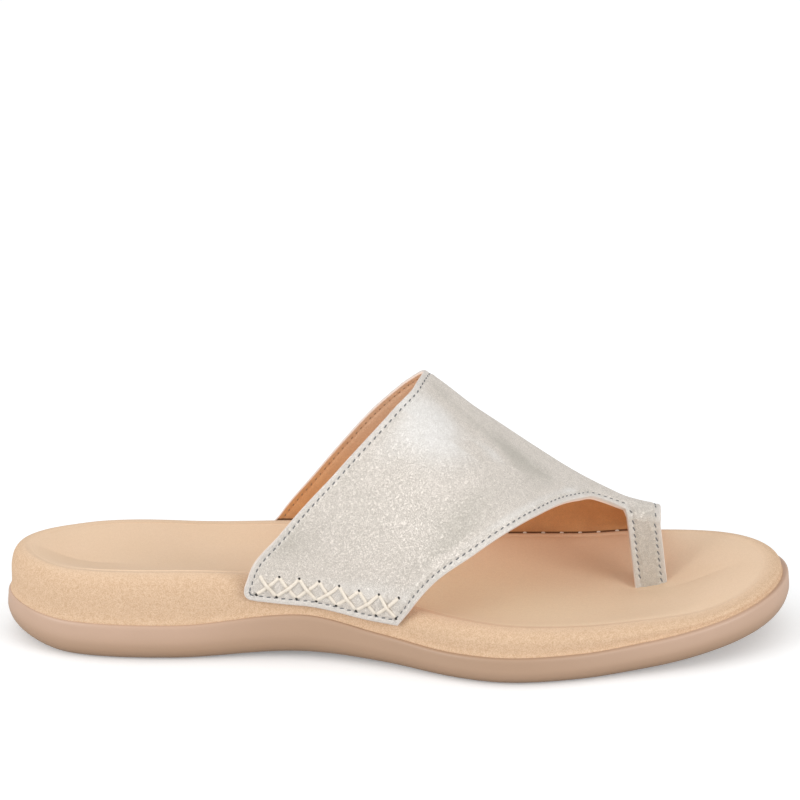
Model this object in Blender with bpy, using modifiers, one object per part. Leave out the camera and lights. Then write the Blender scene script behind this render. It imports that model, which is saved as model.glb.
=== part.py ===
"""Toe loop sandal for the right foot: outsole, midsole, insole and an upper with its toe loop.

Run with: blender --background --python part.py

The shoe stands on the plane z = 0. +X points to the toe, +Y to the inner side of the foot, +Z up.
The origin is at the bottom centre of the outsole's outline. Shapes are worked out in the last's
own frame first, with x from the back of the heel and y from the heel's axis, and moved at the end.
"""

import math

import bmesh
import bpy
import numpy as np

MM = 0.001
NAME = "toe_loop_sandal"

# Driving sizes of the last
SHOE_LENGTH = 256 * MM
BALL_WIDTH = 94 * MM
INSTEP_HEIGHT = 86 * MM
TOE_SPRING = 8.5 * MM

# Outsole
OUTSOLE_SIDE = 12.5 * MM
OUTSOLE_FLAT_INSET = 6.5 * MM
LIP_INSET = 0.7 * MM
CUP_DEPTH = 2.0 * MM

# Midsole and insole
MIDSOLE_SIDE = 16 * MM
MIDSOLE_INSET_HEEL = 1.5 * MM
MIDSOLE_INSET_TOE = 2.8 * MM
RIM_WIDTH = 6.6 * MM
RIM_DROP = 0.4 * MM
DISH_DEPTH = 6 * MM
INSOLE_THICKNESS = 1.4 * MM

# Upper
UPPER_WALL = 1.5 * MM
UPPER_TUCK = 6.6 * MM
UPPER_CORNER = 4 * MM
LOWER_EDGE_SAG = 1.35 * MM
LOOP_FRONT = 0.834 * SHOE_LENGTH

# Toe loop strap. Its foot lies further to the toe than its top by the lean, and its back edge
# lies further out than its front edge by the turn.
STRAP_BACK = 0.79 * SHOE_LENGTH
STRAP_WIDTH = 11.1 * MM
STRAP_FOOT_WIDTH = 10.6 * MM
STRAP_LEAN = 3.1 * MM
STRAP_TURN = 2 * MM
STRAP_DEPTH = 2.2 * MM
FOLD_RADIUS = 2.8 * MM

# Clearances
SEAT_GAP = 0.3 * MM
SLOT_GAP = 0.35 * MM
SLOT_CLEAR_ABOVE = 10 * MM

# Mesh density
SIDE_STEPS = 32
SPLINE_STEPS = 24
UPPER_STEPS_ALONG = 24
FRONT_CROWDING = 0.4
FRONT_EDGE_STEPS = 22
STRAP_STEPS = 5
FOLD_STEPS = 3
LOOP_STEPS = 16
FOLD_ROWS = 3
STRAP_ROWS = 5
LINE_SAMPLES = 200

# Place on the collar from which the upper's mesh runs to the strap's corner, and the share of the
# fold that belongs to the upper's own mesh at the strap's front.
CORNER_FAN_PLACE = -0.06
FOLD_SHARE = 0.7

# Outline of the outsole seen from above, once round from the heel by the outer side.
# along: share of the shoe's length from the heel. across: share of the ball width from the
# heel's axis, negative on the outer side.
OUTLINE_COLUMNS = ("place", "along", "across")
OUTLINE = (
    ("heel back", 0.000, 0.000),
    ("outer heel corner", 0.039, -0.221),
    ("outer heel", 0.164, -0.334),
    ("outer waist", 0.383, -0.317),
    ("outer ball start", 0.508, -0.399),
    ("outer ball", 0.625, -0.517),
    ("outer toes", 0.781, -0.441),
    ("outer toe corner", 0.906, -0.317),
    ("outer toe end", 0.973, -0.160),
    ("toe tip", 1.000, 0.138),
    ("inner toe end", 0.973, 0.308),
    ("big toe", 0.891, 0.436),
    ("inner ball", 0.723, 0.470),
    ("inner ball start", 0.566, 0.394),
    ("inner waist", 0.391, 0.314),
    ("inner heel", 0.164, 0.334),
    ("inner heel corner", 0.039, 0.207),
)
TOE_TIP_ROW = 9

# Heights of the sole along its length.
# lift: share of the toe spring. side: share of the outsole's side. outer rim, inner rim: shares of
# the midsole's side. dish: share of the dish depth. ease: share of the way from the rim to the
# middle line in which the dish starts level.
SOLE_COLUMNS = ("along", "lift", "side", "outer rim", "inner rim", "dish", "ease")
SOLE_SECTIONS = (
    (0.00, 0.38, 0.93, 0.95, 0.95, 0.50, 0.14),
    (0.09, 0.00, 1.03, 1.00, 0.96, 0.90, 0.10),
    (0.22, 0.00, 1.02, 1.03, 0.93, 1.00, 0.05),
    (0.38, 0.24, 1.14, 0.67, 0.80, 0.75, 0.05),
    (0.48, 0.12, 0.88, 0.63, 0.84, 0.65, 0.05),
    (0.57, 0.00, 0.77, 0.60, 0.76, 0.60, 0.05),
    (0.73, 0.00, 0.78, 0.44, 0.62, 0.65, 0.08),
    (0.82, 0.16, 0.82, 0.31, 0.60, 0.82, 0.14),
    (0.91, 0.52, 0.85, 0.17, 0.50, 0.34, 0.25),
    (1.00, 1.00, 0.92, 0.25, 0.25, 0.12, 0.25),
)

# Side of the outsole from the tread up. height: share of its side. bulge: share of the flat
# tread's inset that the side still stands in from the outline.
OUTSOLE_PROFILE = (
    (0.05, 0.62),
    (0.16, 0.30),
    (0.34, 0.08),
    (0.55, 0.00),
    (0.78, 0.03),
)

# Side and rim of the midsole. height: share of its side. inset: share of the rim's width.
MIDSOLE_PROFILE = (
    (0.45, 0.00),
    (0.70, 0.07),
    (0.86, 0.22),
    (0.96, 0.43),
    (1.00, 0.67),
    (0.985, 0.88),
)

# Shares of the way from the rim to the middle line where the footbed's surface has a ring.
DISH_RINGS = (0.0, 0.10, 0.24, 0.42, 0.66)
DISH_STEEPNESS = 2.3
SPINE_START = 0.13
SPINE_END = 0.87

# Shares of the same way where the tread and the cup's floor have a ring.
FLOOR_RINGS = (0.0, 0.28, 0.62)

# Sections of the last under the upper.
# crown: share of the instep height. centre: share of the ball width from the heel's axis.
# reach: 1 where the outer side comes down to the sole, 0 where it ends in the strap's fold.
# inner flatness: 1 is an ellipse, 2 a straight slope.
LAST_COLUMNS = ("along", "crown", "centre", "reach", "inner flatness")
LAST_SECTIONS = (
    (0.28, 1.233, 0.020, 1.00, 1.00),
    (0.40, 1.163, 0.040, 1.00, 1.00),
    (0.52, 1.016, 0.060, 1.00, 1.00),
    (0.60, 0.834, 0.085, 1.00, 1.05),
    (0.67, 0.683, 0.100, 1.00, 1.15),
    (0.73, 0.568, 0.112, 0.62, 1.30),
    (0.765, 0.510, 0.119, 0.19, 1.40),
    (0.79, 0.476, 0.121, 0.04, 1.50),
    (0.84, 0.434, 0.123, 0.00, 1.50),
)

# Collar edge of the upper, once over the instep.
# round: place round the section, -1 at the outer lower edge, 0 at the crown, 1 at the inner one.
EDGE_COLUMNS = ("along", "round")
COLLAR_EDGE = (
    (0.305, -1.00),
    (0.3185, -0.90),
    (0.356, -0.80),
    (0.4285, -0.59),
    (0.492, -0.33),
    (0.519, -0.15),
    (0.530, 0.08),
    (0.521, 0.23),
    (0.499, 0.385),
    (0.453, 0.585),
    (0.391, 0.795),
    (0.343, 0.925),
    (0.322, 1.00),
)

# Front edge of the upper from its lower outer corner to the corner where the strap starts.
FRONT_EDGE = (
    (0.504, -0.985),
    (0.521, -0.913),
    (0.548, -0.815),
    (0.593, -0.680),
    (0.640, -0.518),
    (0.689, -0.340),
    (0.727, -0.222),
    (0.746, -0.168),
    (0.768, -0.164),
    (0.786, -0.156),
)


def column(table, names, name):
    """One named column of a table as an array."""
    return np.array([row[names.index(name)] for row in table], dtype=float)


def smooth_curve(at, places, values):
    """Cubic curve through table values that never overshoots them (Fritsch and Carlson slopes)."""
    steps = np.diff(places)
    rises = np.diff(values) / steps
    slopes = np.empty(len(places))
    slopes[0] = rises[0]
    slopes[-1] = rises[-1]
    before, after = rises[:-1], rises[1:]
    same_way = before * after > 0
    weight_before = 2 * steps[1:] + steps[:-1]
    weight_after = steps[1:] + 2 * steps[:-1]
    safe_before = np.where(same_way, before, 1.0)
    safe_after = np.where(same_way, after, 1.0)
    mean = (weight_before + weight_after) / (weight_before / safe_before + weight_after / safe_after)
    slopes[1:-1] = np.where(same_way, mean, 0.0)
    at = np.clip(at, places[0], places[-1])
    span = np.clip(np.searchsorted(places, at, side="right") - 1, 0, len(steps) - 1)
    width = steps[span]
    share = (at - places[span]) / width
    return hermite(share, values[span], values[span + 1], slopes[span] * width, slopes[span + 1] * width)


def hermite(share, start, end, start_slope, end_slope):
    """Cubic between two values with given slopes at both."""
    square = share * share
    cube = square * share
    return (
        (2 * cube - 3 * square + 1) * start
        + (3 * square - 2 * cube) * end
        + (cube - 2 * square + share) * start_slope
        + (cube - square) * end_slope
    )


def closed_spline(points, steps):
    """Closed cubic spline through the points, with `steps` samples from each point to the next."""
    count = len(points)
    following = np.roll(points, -1, axis=0)
    chords = np.linalg.norm(following - points, axis=1)
    ahead = 1.0 / chords
    behind = np.roll(ahead, 1)
    system = np.zeros((count, count))
    rows = np.arange(count)
    system[rows, rows] = 2 * (ahead + behind)
    system[rows, (rows + 1) % count] = ahead
    system[rows, (rows - 1) % count] = behind
    pull = (following - points) * ahead[:, None] ** 2
    right_side = 3 * (pull + np.roll(pull, 1, axis=0))
    slopes = np.linalg.solve(system, right_side)
    share = np.arange(steps)[None, :, None] / steps
    width = chords[:, None, None]
    curve = hermite(
        share,
        points[:, None, :],
        following[:, None, :],
        slopes[:, None, :] * width,
        np.roll(slopes, -1, axis=0)[:, None, :] * width,
    )
    return curve.reshape(-1, 2)


def even_steps(curve, count):
    """The open curve resampled to `count` + 1 points that lie equally far apart."""
    lengths = np.linalg.norm(np.diff(curve, axis=0), axis=1)
    travelled = np.concatenate([[0.0], np.cumsum(lengths)])
    wanted = np.linspace(0.0, travelled[-1], count + 1)
    return np.stack([np.interp(wanted, travelled, curve[:, axis]) for axis in range(curve.shape[1])], axis=1)


class Outline:
    """The sole seen from above: its edge, outward normals, middle line and both sides."""

    def __init__(self):
        along = column(OUTLINE, OUTLINE_COLUMNS, "along")
        across = column(OUTLINE, OUTLINE_COLUMNS, "across")
        dense = closed_spline(np.stack([along * SHOE_LENGTH, across * BALL_WIDTH], axis=1), SPLINE_STEPS)
        tip = TOE_TIP_ROW * SPLINE_STEPS
        outer = even_steps(dense[: tip + 1], SIDE_STEPS)
        inner = even_steps(np.concatenate([dense[tip:], dense[:1]]), SIDE_STEPS)
        edge = np.concatenate([outer, inner[1:-1]])
        edge[:, 0] = (edge[:, 0] - edge[:, 0].min()) * SHOE_LENGTH / np.ptp(edge[:, 0])
        edge[:, 1] *= BALL_WIDTH / np.ptp(edge[:, 1])
        self.edge = edge
        self.outer = edge[: SIDE_STEPS + 1]
        self.inner = np.concatenate([edge[:1], edge[: SIDE_STEPS - 1 : -1]])
        self.middle = 0.5 * (edge[:, 1].min() + edge[:, 1].max())
        ahead = np.roll(self.edge, -1, axis=0) - np.roll(self.edge, 1, axis=0)
        normal = np.stack([ahead[:, 1], -ahead[:, 0]], axis=1)
        normal /= np.linalg.norm(normal, axis=1)[:, None]
        self.normal = normal * outward_sign(self.edge, normal)
        self.pair = np.concatenate([np.arange(SIDE_STEPS + 1), np.arange(SIDE_STEPS - 1, 0, -1)])
        spine_x = SHOE_LENGTH * np.linspace(SPINE_START, SPINE_END, SIDE_STEPS + 1)
        self.spine = np.stack([spine_x, 0.5 * (self.outer_y(spine_x) + self.inner_y(spine_x))], axis=1)

    def outer_y(self, x):
        """Across place of the outer edge at a station."""
        return np.interp(x, self.outer[:, 0], self.outer[:, 1])

    def inner_y(self, x):
        """Across place of the inner edge at a station."""
        return np.interp(x, self.inner[:, 0], self.inner[:, 1])

    def ring(self, inset):
        """The edge moved in by an inset, one value or one for each point."""
        return self.edge - self.normal * np.broadcast_to(inset, len(self.edge))[:, None]

    def inner_share(self, x, y):
        """0 at the outer edge and 1 at the inner edge of the station."""
        width = np.maximum(self.inner_y(x) - self.outer_y(x), 0.3 * BALL_WIDTH)
        centre = 0.5 * (self.inner_y(x) + self.outer_y(x))
        return np.clip((y - centre) / width + 0.5, 0.0, 1.0)


def outward_sign(points, normals):
    """1 where the normals of a closed curve point away from its centre, otherwise -1."""
    centre = points.mean(axis=0)
    return 1.0 if np.sum((points - centre) * normals) > 0 else -1.0


OUTLINE_SHAPE = Outline()


def sole_value(x, name):
    """A column of the sole's table at stations x."""
    places = column(SOLE_SECTIONS, SOLE_COLUMNS, "along")
    return smooth_curve(x / SHOE_LENGTH, places, column(SOLE_SECTIONS, SOLE_COLUMNS, name))


def tread_height(x):
    """Height of the outsole's underside: flat at heel and ball, lifted at waist, toe and heel end."""
    return TOE_SPRING * sole_value(x, "lift")


def lip_height(x):
    """Height of the outsole's lip, where the midsole starts to show."""
    return tread_height(x) + OUTSOLE_SIDE * sole_value(x, "side")


def rim_height(x, inner_share):
    """Height of the midsole's rim, blended from the outer to the inner side."""
    outer = sole_value(x, "outer rim")
    inner = sole_value(x, "inner rim")
    blend = inner_share * inner_share * (3 - 2 * inner_share)
    return lip_height(x) + MIDSOLE_SIDE * (outer + (inner - outer) * blend)


def footbed_height(x, y, depth_share):
    """Top of the insole: the rim's height less a bowl, level at the rim and at the middle line."""
    ease = sole_value(x, "ease")
    eased = depth_share * depth_share * (1 + ease) / (depth_share + ease)
    bowl = 1 - (1 - eased) ** DISH_STEEPNESS
    rim = rim_height(x, OUTLINE_SHAPE.inner_share(x, y))
    return rim - RIM_DROP - DISH_DEPTH * sole_value(x, "dish") * bowl


def midsole_inset(x):
    """How far the midsole's wall stands in from the outsole's outline."""
    return MIDSOLE_INSET_HEEL + (MIDSOLE_INSET_TOE - MIDSOLE_INSET_HEEL) * x / SHOE_LENGTH


def with_height(plan, heights):
    """Plan points with their heights."""
    return np.column_stack([plan, heights])


def edge_ring(inset, height_of):
    """A ring at an inset from the outline, with its height worked out from its stations."""
    plan = OUTLINE_SHAPE.ring(inset)
    return with_height(plan, height_of(plan))


def inner_rings(inset, shares, height_of):
    """Rings that shrink from the inset edge towards the middle line, and that line itself."""
    start = OUTLINE_SHAPE.ring(inset)
    goal = OUTLINE_SHAPE.spine[OUTLINE_SHAPE.pair]
    rings = []
    for share in shares:
        plan = start + (goal - start) * share
        rings.append(with_height(plan, height_of(plan, share)))
    spine = with_height(OUTLINE_SHAPE.spine, height_of(OUTLINE_SHAPE.spine, 1.0))
    return rings, spine


def split(outer, outer_next, inner_next, inner):
    """Two triangles of a strip's four corners, always parted from `outer` to `inner_next`."""
    return [(outer, outer_next, inner_next), (outer, inner_next, inner)]


def loft_on_spines(under_rings, side_rings, top_rings, lower_spine, upper_spine):
    """Vertices and triangles of a solid that runs from one middle line to another.

    The under rings run outwards, the side rings up and the top rings inwards. Strips under and on
    top are parted along the same diagonal, so that two pieces which share a seat stay parallel.
    """
    rings = under_rings + side_rings + top_rings
    count = len(rings[0])
    pair = OUTLINE_SHAPE.pair
    vertices = np.concatenate(rings + [lower_spine, upper_spine])
    lower_start = count * len(rings)
    upper_start = lower_start + len(lower_spine)
    triangles = []
    for row in range(len(rings) - 1):
        here = row * count
        there = here + count
        runs_out = row < len(under_rings) - 1
        for k in range(count):
            nxt = (k + 1) % count
            if runs_out:
                triangles += split(there + k, there + nxt, here + nxt, here + k)
            else:
                triangles += split(here + k, here + nxt, there + nxt, there + k)
    last = (len(rings) - 1) * count
    for k in range(count):
        nxt = (k + 1) % count
        triangles += split(k, nxt, lower_start + pair[nxt], lower_start + pair[k])
        triangles += split(last + k, last + nxt, upper_start + pair[nxt], upper_start + pair[k])
    return vertices, triangles


def outsole_shape():
    """Flat tread, convex side, lip and shallow cup of the outsole."""

    def tread(plan, share=0.0):
        return tread_height(plan[:, 0])

    def cup_floor(plan, share=0.0):
        return lip_height(plan[:, 0]) - CUP_DEPTH

    tread_rings, tread_spine = inner_rings(OUTSOLE_FLAT_INSET, FLOOR_RINGS, tread)
    side = []
    for height, bulge in OUTSOLE_PROFILE:
        side.append(edge_ring(
            OUTSOLE_FLAT_INSET * bulge,
            lambda plan: tread_height(plan[:, 0]) + height * OUTSOLE_SIDE * sole_value(plan[:, 0], "side"),
        ))
    side.append(edge_ring(LIP_INSET, lambda plan: lip_height(plan[:, 0])))
    cup_inset = midsole_inset(OUTLINE_SHAPE.edge[:, 0]) - SEAT_GAP
    side.append(edge_ring(cup_inset, lambda plan: lip_height(plan[:, 0])))
    floor_rings, floor_spine = inner_rings(cup_inset, FLOOR_RINGS, cup_floor)
    return loft_on_spines(tread_rings[::-1], side, floor_rings, tread_spine, floor_spine)


def midsole_shape():
    """Midsole from its seat in the cup, up its wall and over the rim into the insole's recess."""
    wall_inset = midsole_inset(OUTLINE_SHAPE.edge[:, 0])

    def seat(plan, share=0.0):
        return lip_height(plan[:, 0]) - CUP_DEPTH + SEAT_GAP

    def recess(plan, share):
        return footbed_height(plan[:, 0], plan[:, 1], share) - INSOLE_THICKNESS - SEAT_GAP

    def edge_height(plan, share):
        stations = plan[:, 0]
        lip = lip_height(stations)
        rim = rim_height(stations, OUTLINE_SHAPE.inner_share(stations, plan[:, 1]))
        return lip + (rim - lip) * share

    seat_rings, seat_spine = inner_rings(wall_inset, FLOOR_RINGS, seat)
    side = [
        edge_ring(wall_inset + RIM_WIDTH * inset, lambda plan: edge_height(plan, height))
        for height, inset in MIDSOLE_PROFILE
    ]
    rim_edge = wall_inset + RIM_WIDTH
    side.append(edge_ring(rim_edge, lambda plan: edge_height(plan, 1.0) - RIM_DROP))
    recess_rings, recess_spine = inner_rings(rim_edge, DISH_RINGS, recess)
    return loft_on_spines(seat_rings[::-1], side, recess_rings, seat_spine, recess_spine)


def insole_shape():
    """Sheet of even thickness that lies in the recess of the midsole."""
    edge = midsole_inset(OUTLINE_SHAPE.edge[:, 0]) + RIM_WIDTH + SEAT_GAP

    def top(plan, share):
        return footbed_height(plan[:, 0], plan[:, 1], share)

    def underside(plan, share):
        return top(plan, share) - INSOLE_THICKNESS

    top_rings, top_spine = inner_rings(edge, DISH_RINGS, top)
    under_rings, under_spine = inner_rings(edge, DISH_RINGS, underside)
    return loft_on_spines(under_rings[::-1], [], top_rings, under_spine, top_spine)


def last_value(x, name):
    """A column of the last's table at stations x."""
    places = column(LAST_SECTIONS, LAST_COLUMNS, "along")
    return smooth_curve(x / SHOE_LENGTH, places, column(LAST_SECTIONS, LAST_COLUMNS, name))


def quarter_ellipse_length(width, height):
    """Length of a quarter of an ellipse (Ramanujan's short formula)."""
    total = 3 * (width + height)
    return 0.25 * math.pi * (total - np.sqrt((3 * width + height) * (width + 3 * height)))


def half_section(x, outer_half):
    """Sizes of one half of the last's section at stations x.

    Returns the width and the rise of its curve, the length of the straight stretch below it and
    the share of the whole length that the curve takes. Where the reach is 0 the outer half is the
    fold and the straight stretch is the strap.
    """
    reach = np.where(outer_half, last_value(x, "reach"), 1.0)
    sole_y = np.where(outer_half, UPPER_SEAT_OUTER(x), UPPER_SEAT_INNER(x))
    sole_z = rim_height(x, np.where(outer_half, 0.0, 1.0))
    full_width = np.abs(sole_y - BALL_WIDTH * last_value(x, "centre"))
    full_rise = INSTEP_HEIGHT * last_value(x, "crown") - sole_z
    width = FOLD_RADIUS + reach * (full_width - FOLD_RADIUS)
    rise = FOLD_RADIUS + reach * (full_rise - FOLD_RADIUS)
    straight = STRAP_LENGTH + reach * (UPPER_TUCK - STRAP_LENGTH)
    arc = quarter_ellipse_length(width, rise)
    return width, rise, straight, arc / (arc + straight)


def last_point(x, around):
    """Point on the inside of the upper at station x.

    `around` runs from -1 at the outer lower edge over 0 at the crown to 1 at the inner lower edge.
    Each half is a straight stretch along the sole's side and then a quarter of an ellipse, or of a
    flatter curve of that kind, up to the crown. Both take their share of `around` by length.
    """
    x, around = np.broadcast_arrays(np.asarray(x, dtype=float), np.asarray(around, dtype=float))
    outer_half = around < 0
    side = np.where(outer_half, -1.0, 1.0)
    flatness = np.where(outer_half, 1.0, last_value(x, "inner flatness"))
    width, rise, straight, arc_share = half_section(x, outer_half)
    distance = np.abs(around)
    angle = 0.5 * math.pi * (1 - np.clip(distance / arc_share, 0.0, 1.0))
    below = np.maximum((distance - arc_share) / (1 - arc_share), 0.0)
    y = BALL_WIDTH * last_value(x, "centre") + side * width * np.cos(angle) ** flatness
    foot_z = INSTEP_HEIGHT * last_value(x, "crown") - rise
    z = foot_z + rise * np.sin(angle) ** flatness - straight * below
    return np.stack([x, y, z], axis=-1)


def seat_line(start, end):
    """Function that gives the across place of the upper's inside along one side of the sole."""
    inset = midsole_inset(OUTLINE_SHAPE.edge[:, 0]) - SEAT_GAP
    line = OUTLINE_SHAPE.ring(inset)[start:end]
    line = line[np.argsort(line[:, 0])]
    return lambda x: np.interp(x, line[:, 0], line[:, 1])


def strap_length():
    """Length of the strap's flat from the fold's foot to the middle of the footbed below it."""
    x = np.array([STRAP_BACK + 0.5 * STRAP_WIDTH])
    y = BALL_WIDTH * last_value(x, "centre")
    return float((INSTEP_HEIGHT * last_value(x, "crown") - FOLD_RADIUS - footbed_height(x, y, 1.0))[0])


UPPER_SEAT_OUTER = seat_line(0, SIDE_STEPS + 1)
UPPER_SEAT_INNER = seat_line(SIDE_STEPS, 2 * SIDE_STEPS)
STRAP_LENGTH = strap_length()


def collar_station(around):
    """Station of the collar edge at places round the section, with its lower outer corner rounded."""
    around = np.asarray(around, dtype=float)
    along = column(COLLAR_EDGE, EDGE_COLUMNS, "along")
    places = column(COLLAR_EDGE, EDGE_COLUMNS, "round")
    station = SHOE_LENGTH * smooth_curve(around, places, along)
    lower_edge = last_point(station, -1.0)[..., 2]
    above = last_point(station, around)[..., 2] - lower_edge
    into_corner = np.clip(1 - above / UPPER_CORNER, 0.0, 1.0) * (around < 0)
    return station + UPPER_CORNER * (1 - np.sqrt(1 - into_corner ** 2))


def fold_foot_place(x):
    """Place round the section where the strap's fold has turned down into its flat."""
    return -half_section(x, True)[3]


def even_on_last(line, steps):
    """A line of stations and places resampled to equal steps on the last."""
    points = last_point(line[:, 0], line[:, 1])
    travelled = np.concatenate([[0.0], np.cumsum(np.linalg.norm(np.diff(points, axis=0), axis=1))])
    wanted = np.linspace(0.0, travelled[-1], steps + 1)
    return np.stack([np.interp(wanted, travelled, line[:, axis]) for axis in range(2)], axis=1)


def straight_line(start, end):
    """Stations and places on a straight line between two of them."""
    return np.linspace(start, end, LINE_SAMPLES)


def fold_foot_line(samples):
    """Stations and places along the foot of the fold, where the strap's flat hangs."""
    stations = np.linspace(STRAP_BACK, STRAP_BACK + STRAP_WIDTH, samples)
    return np.stack([stations, fold_foot_place(stations)], axis=1)


def front_boundary():
    """Stations and places of the upper's front, from its lower outer corner to its inner one.

    It runs up the front edge to the strap's corner, along the fold above the strap, over the fold
    and down the front of the loop.
    """
    along = SHOE_LENGTH * column(FRONT_EDGE, EDGE_COLUMNS, "along")
    places = column(FRONT_EDGE, EDGE_COLUMNS, "round")
    stations = np.linspace(along[0], along[-1], LINE_SAMPLES)
    edge = np.stack([stations, smooth_curve(stations, along, places)], axis=1)
    fold_foot = fold_foot_line(STRAP_STEPS + 1)[-1]
    fold_side = (fold_foot[0], fold_foot[1] * FOLD_SHARE)
    fold_top = (fold_foot[0], 0.0)
    pieces = [
        even_on_last(edge, FRONT_EDGE_STEPS),
        even_on_last(straight_line(edge[-1], fold_side), STRAP_STEPS),
        even_on_last(straight_line(fold_side, fold_top), FOLD_STEPS),
        even_on_last(straight_line(fold_top, (LOOP_FRONT, 1.0)), LOOP_STEPS),
    ]
    return np.concatenate([pieces[0]] + [piece[1:] for piece in pieces[1:]])


def collar_boundary():
    """Stations and places of the collar edge, one for each place of the front boundary."""
    pieces = [
        np.linspace(-1.0, CORNER_FAN_PLACE, FRONT_EDGE_STEPS + 1),
        np.linspace(CORNER_FAN_PLACE, 0.0, STRAP_STEPS + FOLD_STEPS + 1)[1:],
        np.linspace(0.0, 1.0, LOOP_STEPS + 1)[1:],
    ]
    around = np.concatenate(pieces)
    return np.stack([collar_station(around), around], axis=1)


def edge_sag(x, around, share):
    """How far round the section the outer lower edge hangs, with most of it half way along.

    The hang fades out over the height of the tuck. `share` is the way from collar to front.
    """
    straight, arc_share = half_section(x, True)[2:]
    whole = straight / (1 - arc_share)
    fade = np.clip(1 - (1 + around) * whole / UPPER_TUCK, 0.0, 1.0)
    return 4 * share * (1 - share) * fade * LOWER_EDGE_SAG / whole


def upper_lines():
    """Stations and places over the upper: rows run round the foot, columns from collar to front.

    Each column is a straight line of stations and places, but for the hang of the outer lower
    edge. One column lies on the crown, where the fold starts. Rows crowd a little to the front.
    """
    even = np.linspace(0.0, 1.0, UPPER_STEPS_ALONG + 1)[:, None, None]
    share = even * (1 + FRONT_CROWDING * (1 - even))
    lines = collar_boundary()[None] * (1 - share) + front_boundary()[None] * share
    lines[..., 1] -= edge_sag(lines[..., 0], lines[..., 1], share[..., 0])
    return lines


def strap_foot():
    """Middle of the strap's foot on the footbed."""
    middle_x = STRAP_BACK + 0.5 * STRAP_WIDTH
    y = float(last_point(middle_x, fold_foot_place(middle_x))[1])
    x = middle_x + STRAP_LEAN
    edge_y = OUTLINE_SHAPE.inner_y(x) - RIM_WIDTH - midsole_inset(x)
    share = np.clip((edge_y - y) / (edge_y - np.interp(x, *OUTLINE_SHAPE.spine.T)), 0.0, 1.0)
    top = footbed_height(np.array([x]), np.array([y]), np.array([share]))[0]
    return np.array([x, y, top])


def strap_rows(top):
    """Rows of points down the strap: over the rest of the fold and down its flat into the slot."""
    fold_foot = fold_foot_line(len(top))
    rows = []
    for row in range(1, FOLD_ROWS + 1):
        line = top + (fold_foot - top) * row / FOLD_ROWS
        rows.append(last_point(line[:, 0], line[:, 1]))
    share = np.linspace(-0.5, 0.5, len(top))
    depth = np.full(len(top), -STRAP_DEPTH)
    foot = strap_foot() + np.stack([share * STRAP_FOOT_WIDTH, share * STRAP_TURN, depth], axis=1)
    flat_top = rows[-1]
    for row in range(1, STRAP_ROWS + 1):
        rows.append(flat_top + (foot - flat_top) * row / STRAP_ROWS)
    return rows


def upper_shape():
    """Inside surface of the upper, with the strap hung on the fold's side."""
    lines = upper_lines()
    width = lines.shape[1]
    vertices = [last_point(lines[..., 0], lines[..., 1]).reshape(-1, 3)]
    faces = []
    for row in range(UPPER_STEPS_ALONG):
        for k in range(width - 1):
            corner = row * width + k
            faces.append((corner, corner + width, corner + width + 1, corner + 1))
    start = FRONT_EDGE_STEPS
    end = FRONT_EDGE_STEPS + STRAP_STEPS
    above = UPPER_STEPS_ALONG * width + np.arange(start, end + 1)
    count = lines.shape[0] * width
    for points in strap_rows(lines[-1, start : end + 1]):
        below = count + np.arange(len(points))
        vertices.append(points)
        count += len(points)
        for k in range(len(points) - 1):
            faces.append((above[k], below[k], below[k + 1], above[k + 1]))
        above = below
    return np.concatenate(vertices), faces


def make_material(name, colour, roughness, metallic=0.0):
    """Principled material with one colour."""
    material = bpy.data.materials.new(name)
    material.use_nodes = True
    shader = material.node_tree.nodes["Principled BSDF"]
    shader.inputs["Base Color"].default_value = (*colour, 1.0)
    shader.inputs["Roughness"].default_value = roughness
    shader.inputs["Metallic"].default_value = metallic
    material.diffuse_color = (*colour, 1.0)
    return material


def make_object(name, shape, material, collection):
    """Mesh object from vertices in the last's frame, moved to the part's own frame."""
    vertices, faces = shape
    placed = vertices - np.array([0.5 * SHOE_LENGTH, OUTLINE_SHAPE.middle, 0.0])
    mesh = bpy.data.meshes.new(name)
    mesh.from_pydata([tuple(point) for point in placed], [], [tuple(int(i) for i in f) for f in faces])
    mesh.materials.append(material)
    tidy = bmesh.new()
    tidy.from_mesh(mesh)
    bmesh.ops.remove_doubles(tidy, verts=tidy.verts, dist=1e-6)
    if all(edge.is_manifold for edge in tidy.edges):
        bmesh.ops.recalc_face_normals(tidy, faces=tidy.faces)
    tidy.to_mesh(mesh)
    tidy.free()
    mesh.shade_smooth()
    mesh.set_sharp_from_angle(angle=math.radians(40))
    made = bpy.data.objects.new(name, mesh)
    collection.objects.link(made)
    return made


def add_slot(target, cutter):
    """Cut the strap's slot out of a piece of the sole."""
    cut = target.modifiers.new("strap slot", "BOOLEAN")
    cut.operation = "DIFFERENCE"
    cut.solver = "EXACT"
    cut.object = cutter


def make_slot_cutter(collection):
    """Box that clears the strap's foot on every side, down to its seat."""
    depth = STRAP_DEPTH + SEAT_GAP
    length = math.hypot(STRAP_FOOT_WIDTH, STRAP_TURN) + 2 * SLOT_GAP
    size = np.array([length, UPPER_WALL + 2 * SLOT_GAP, depth + SLOT_CLEAR_ABOVE])
    centre = strap_foot() + np.array([0.0, -0.5 * UPPER_WALL, 0.5 * (SLOT_CLEAR_ABOVE - depth)])
    centre -= np.array([0.5 * SHOE_LENGTH, OUTLINE_SHAPE.middle, 0.0])
    mesh = bpy.data.meshes.new("strap_slot_cutter")
    box = bmesh.new()
    bmesh.ops.create_cube(box, size=1.0)
    bmesh.ops.scale(box, vec=size, verts=box.verts)
    box.to_mesh(mesh)
    box.free()
    cutter = bpy.data.objects.new("strap_slot_cutter", mesh)
    cutter.location = centre
    cutter.rotation_euler.z = math.atan2(STRAP_TURN, STRAP_FOOT_WIDTH)
    cutter.hide_render = True
    cutter.display_type = "WIRE"
    collection.objects.link(cutter)
    return cutter


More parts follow.
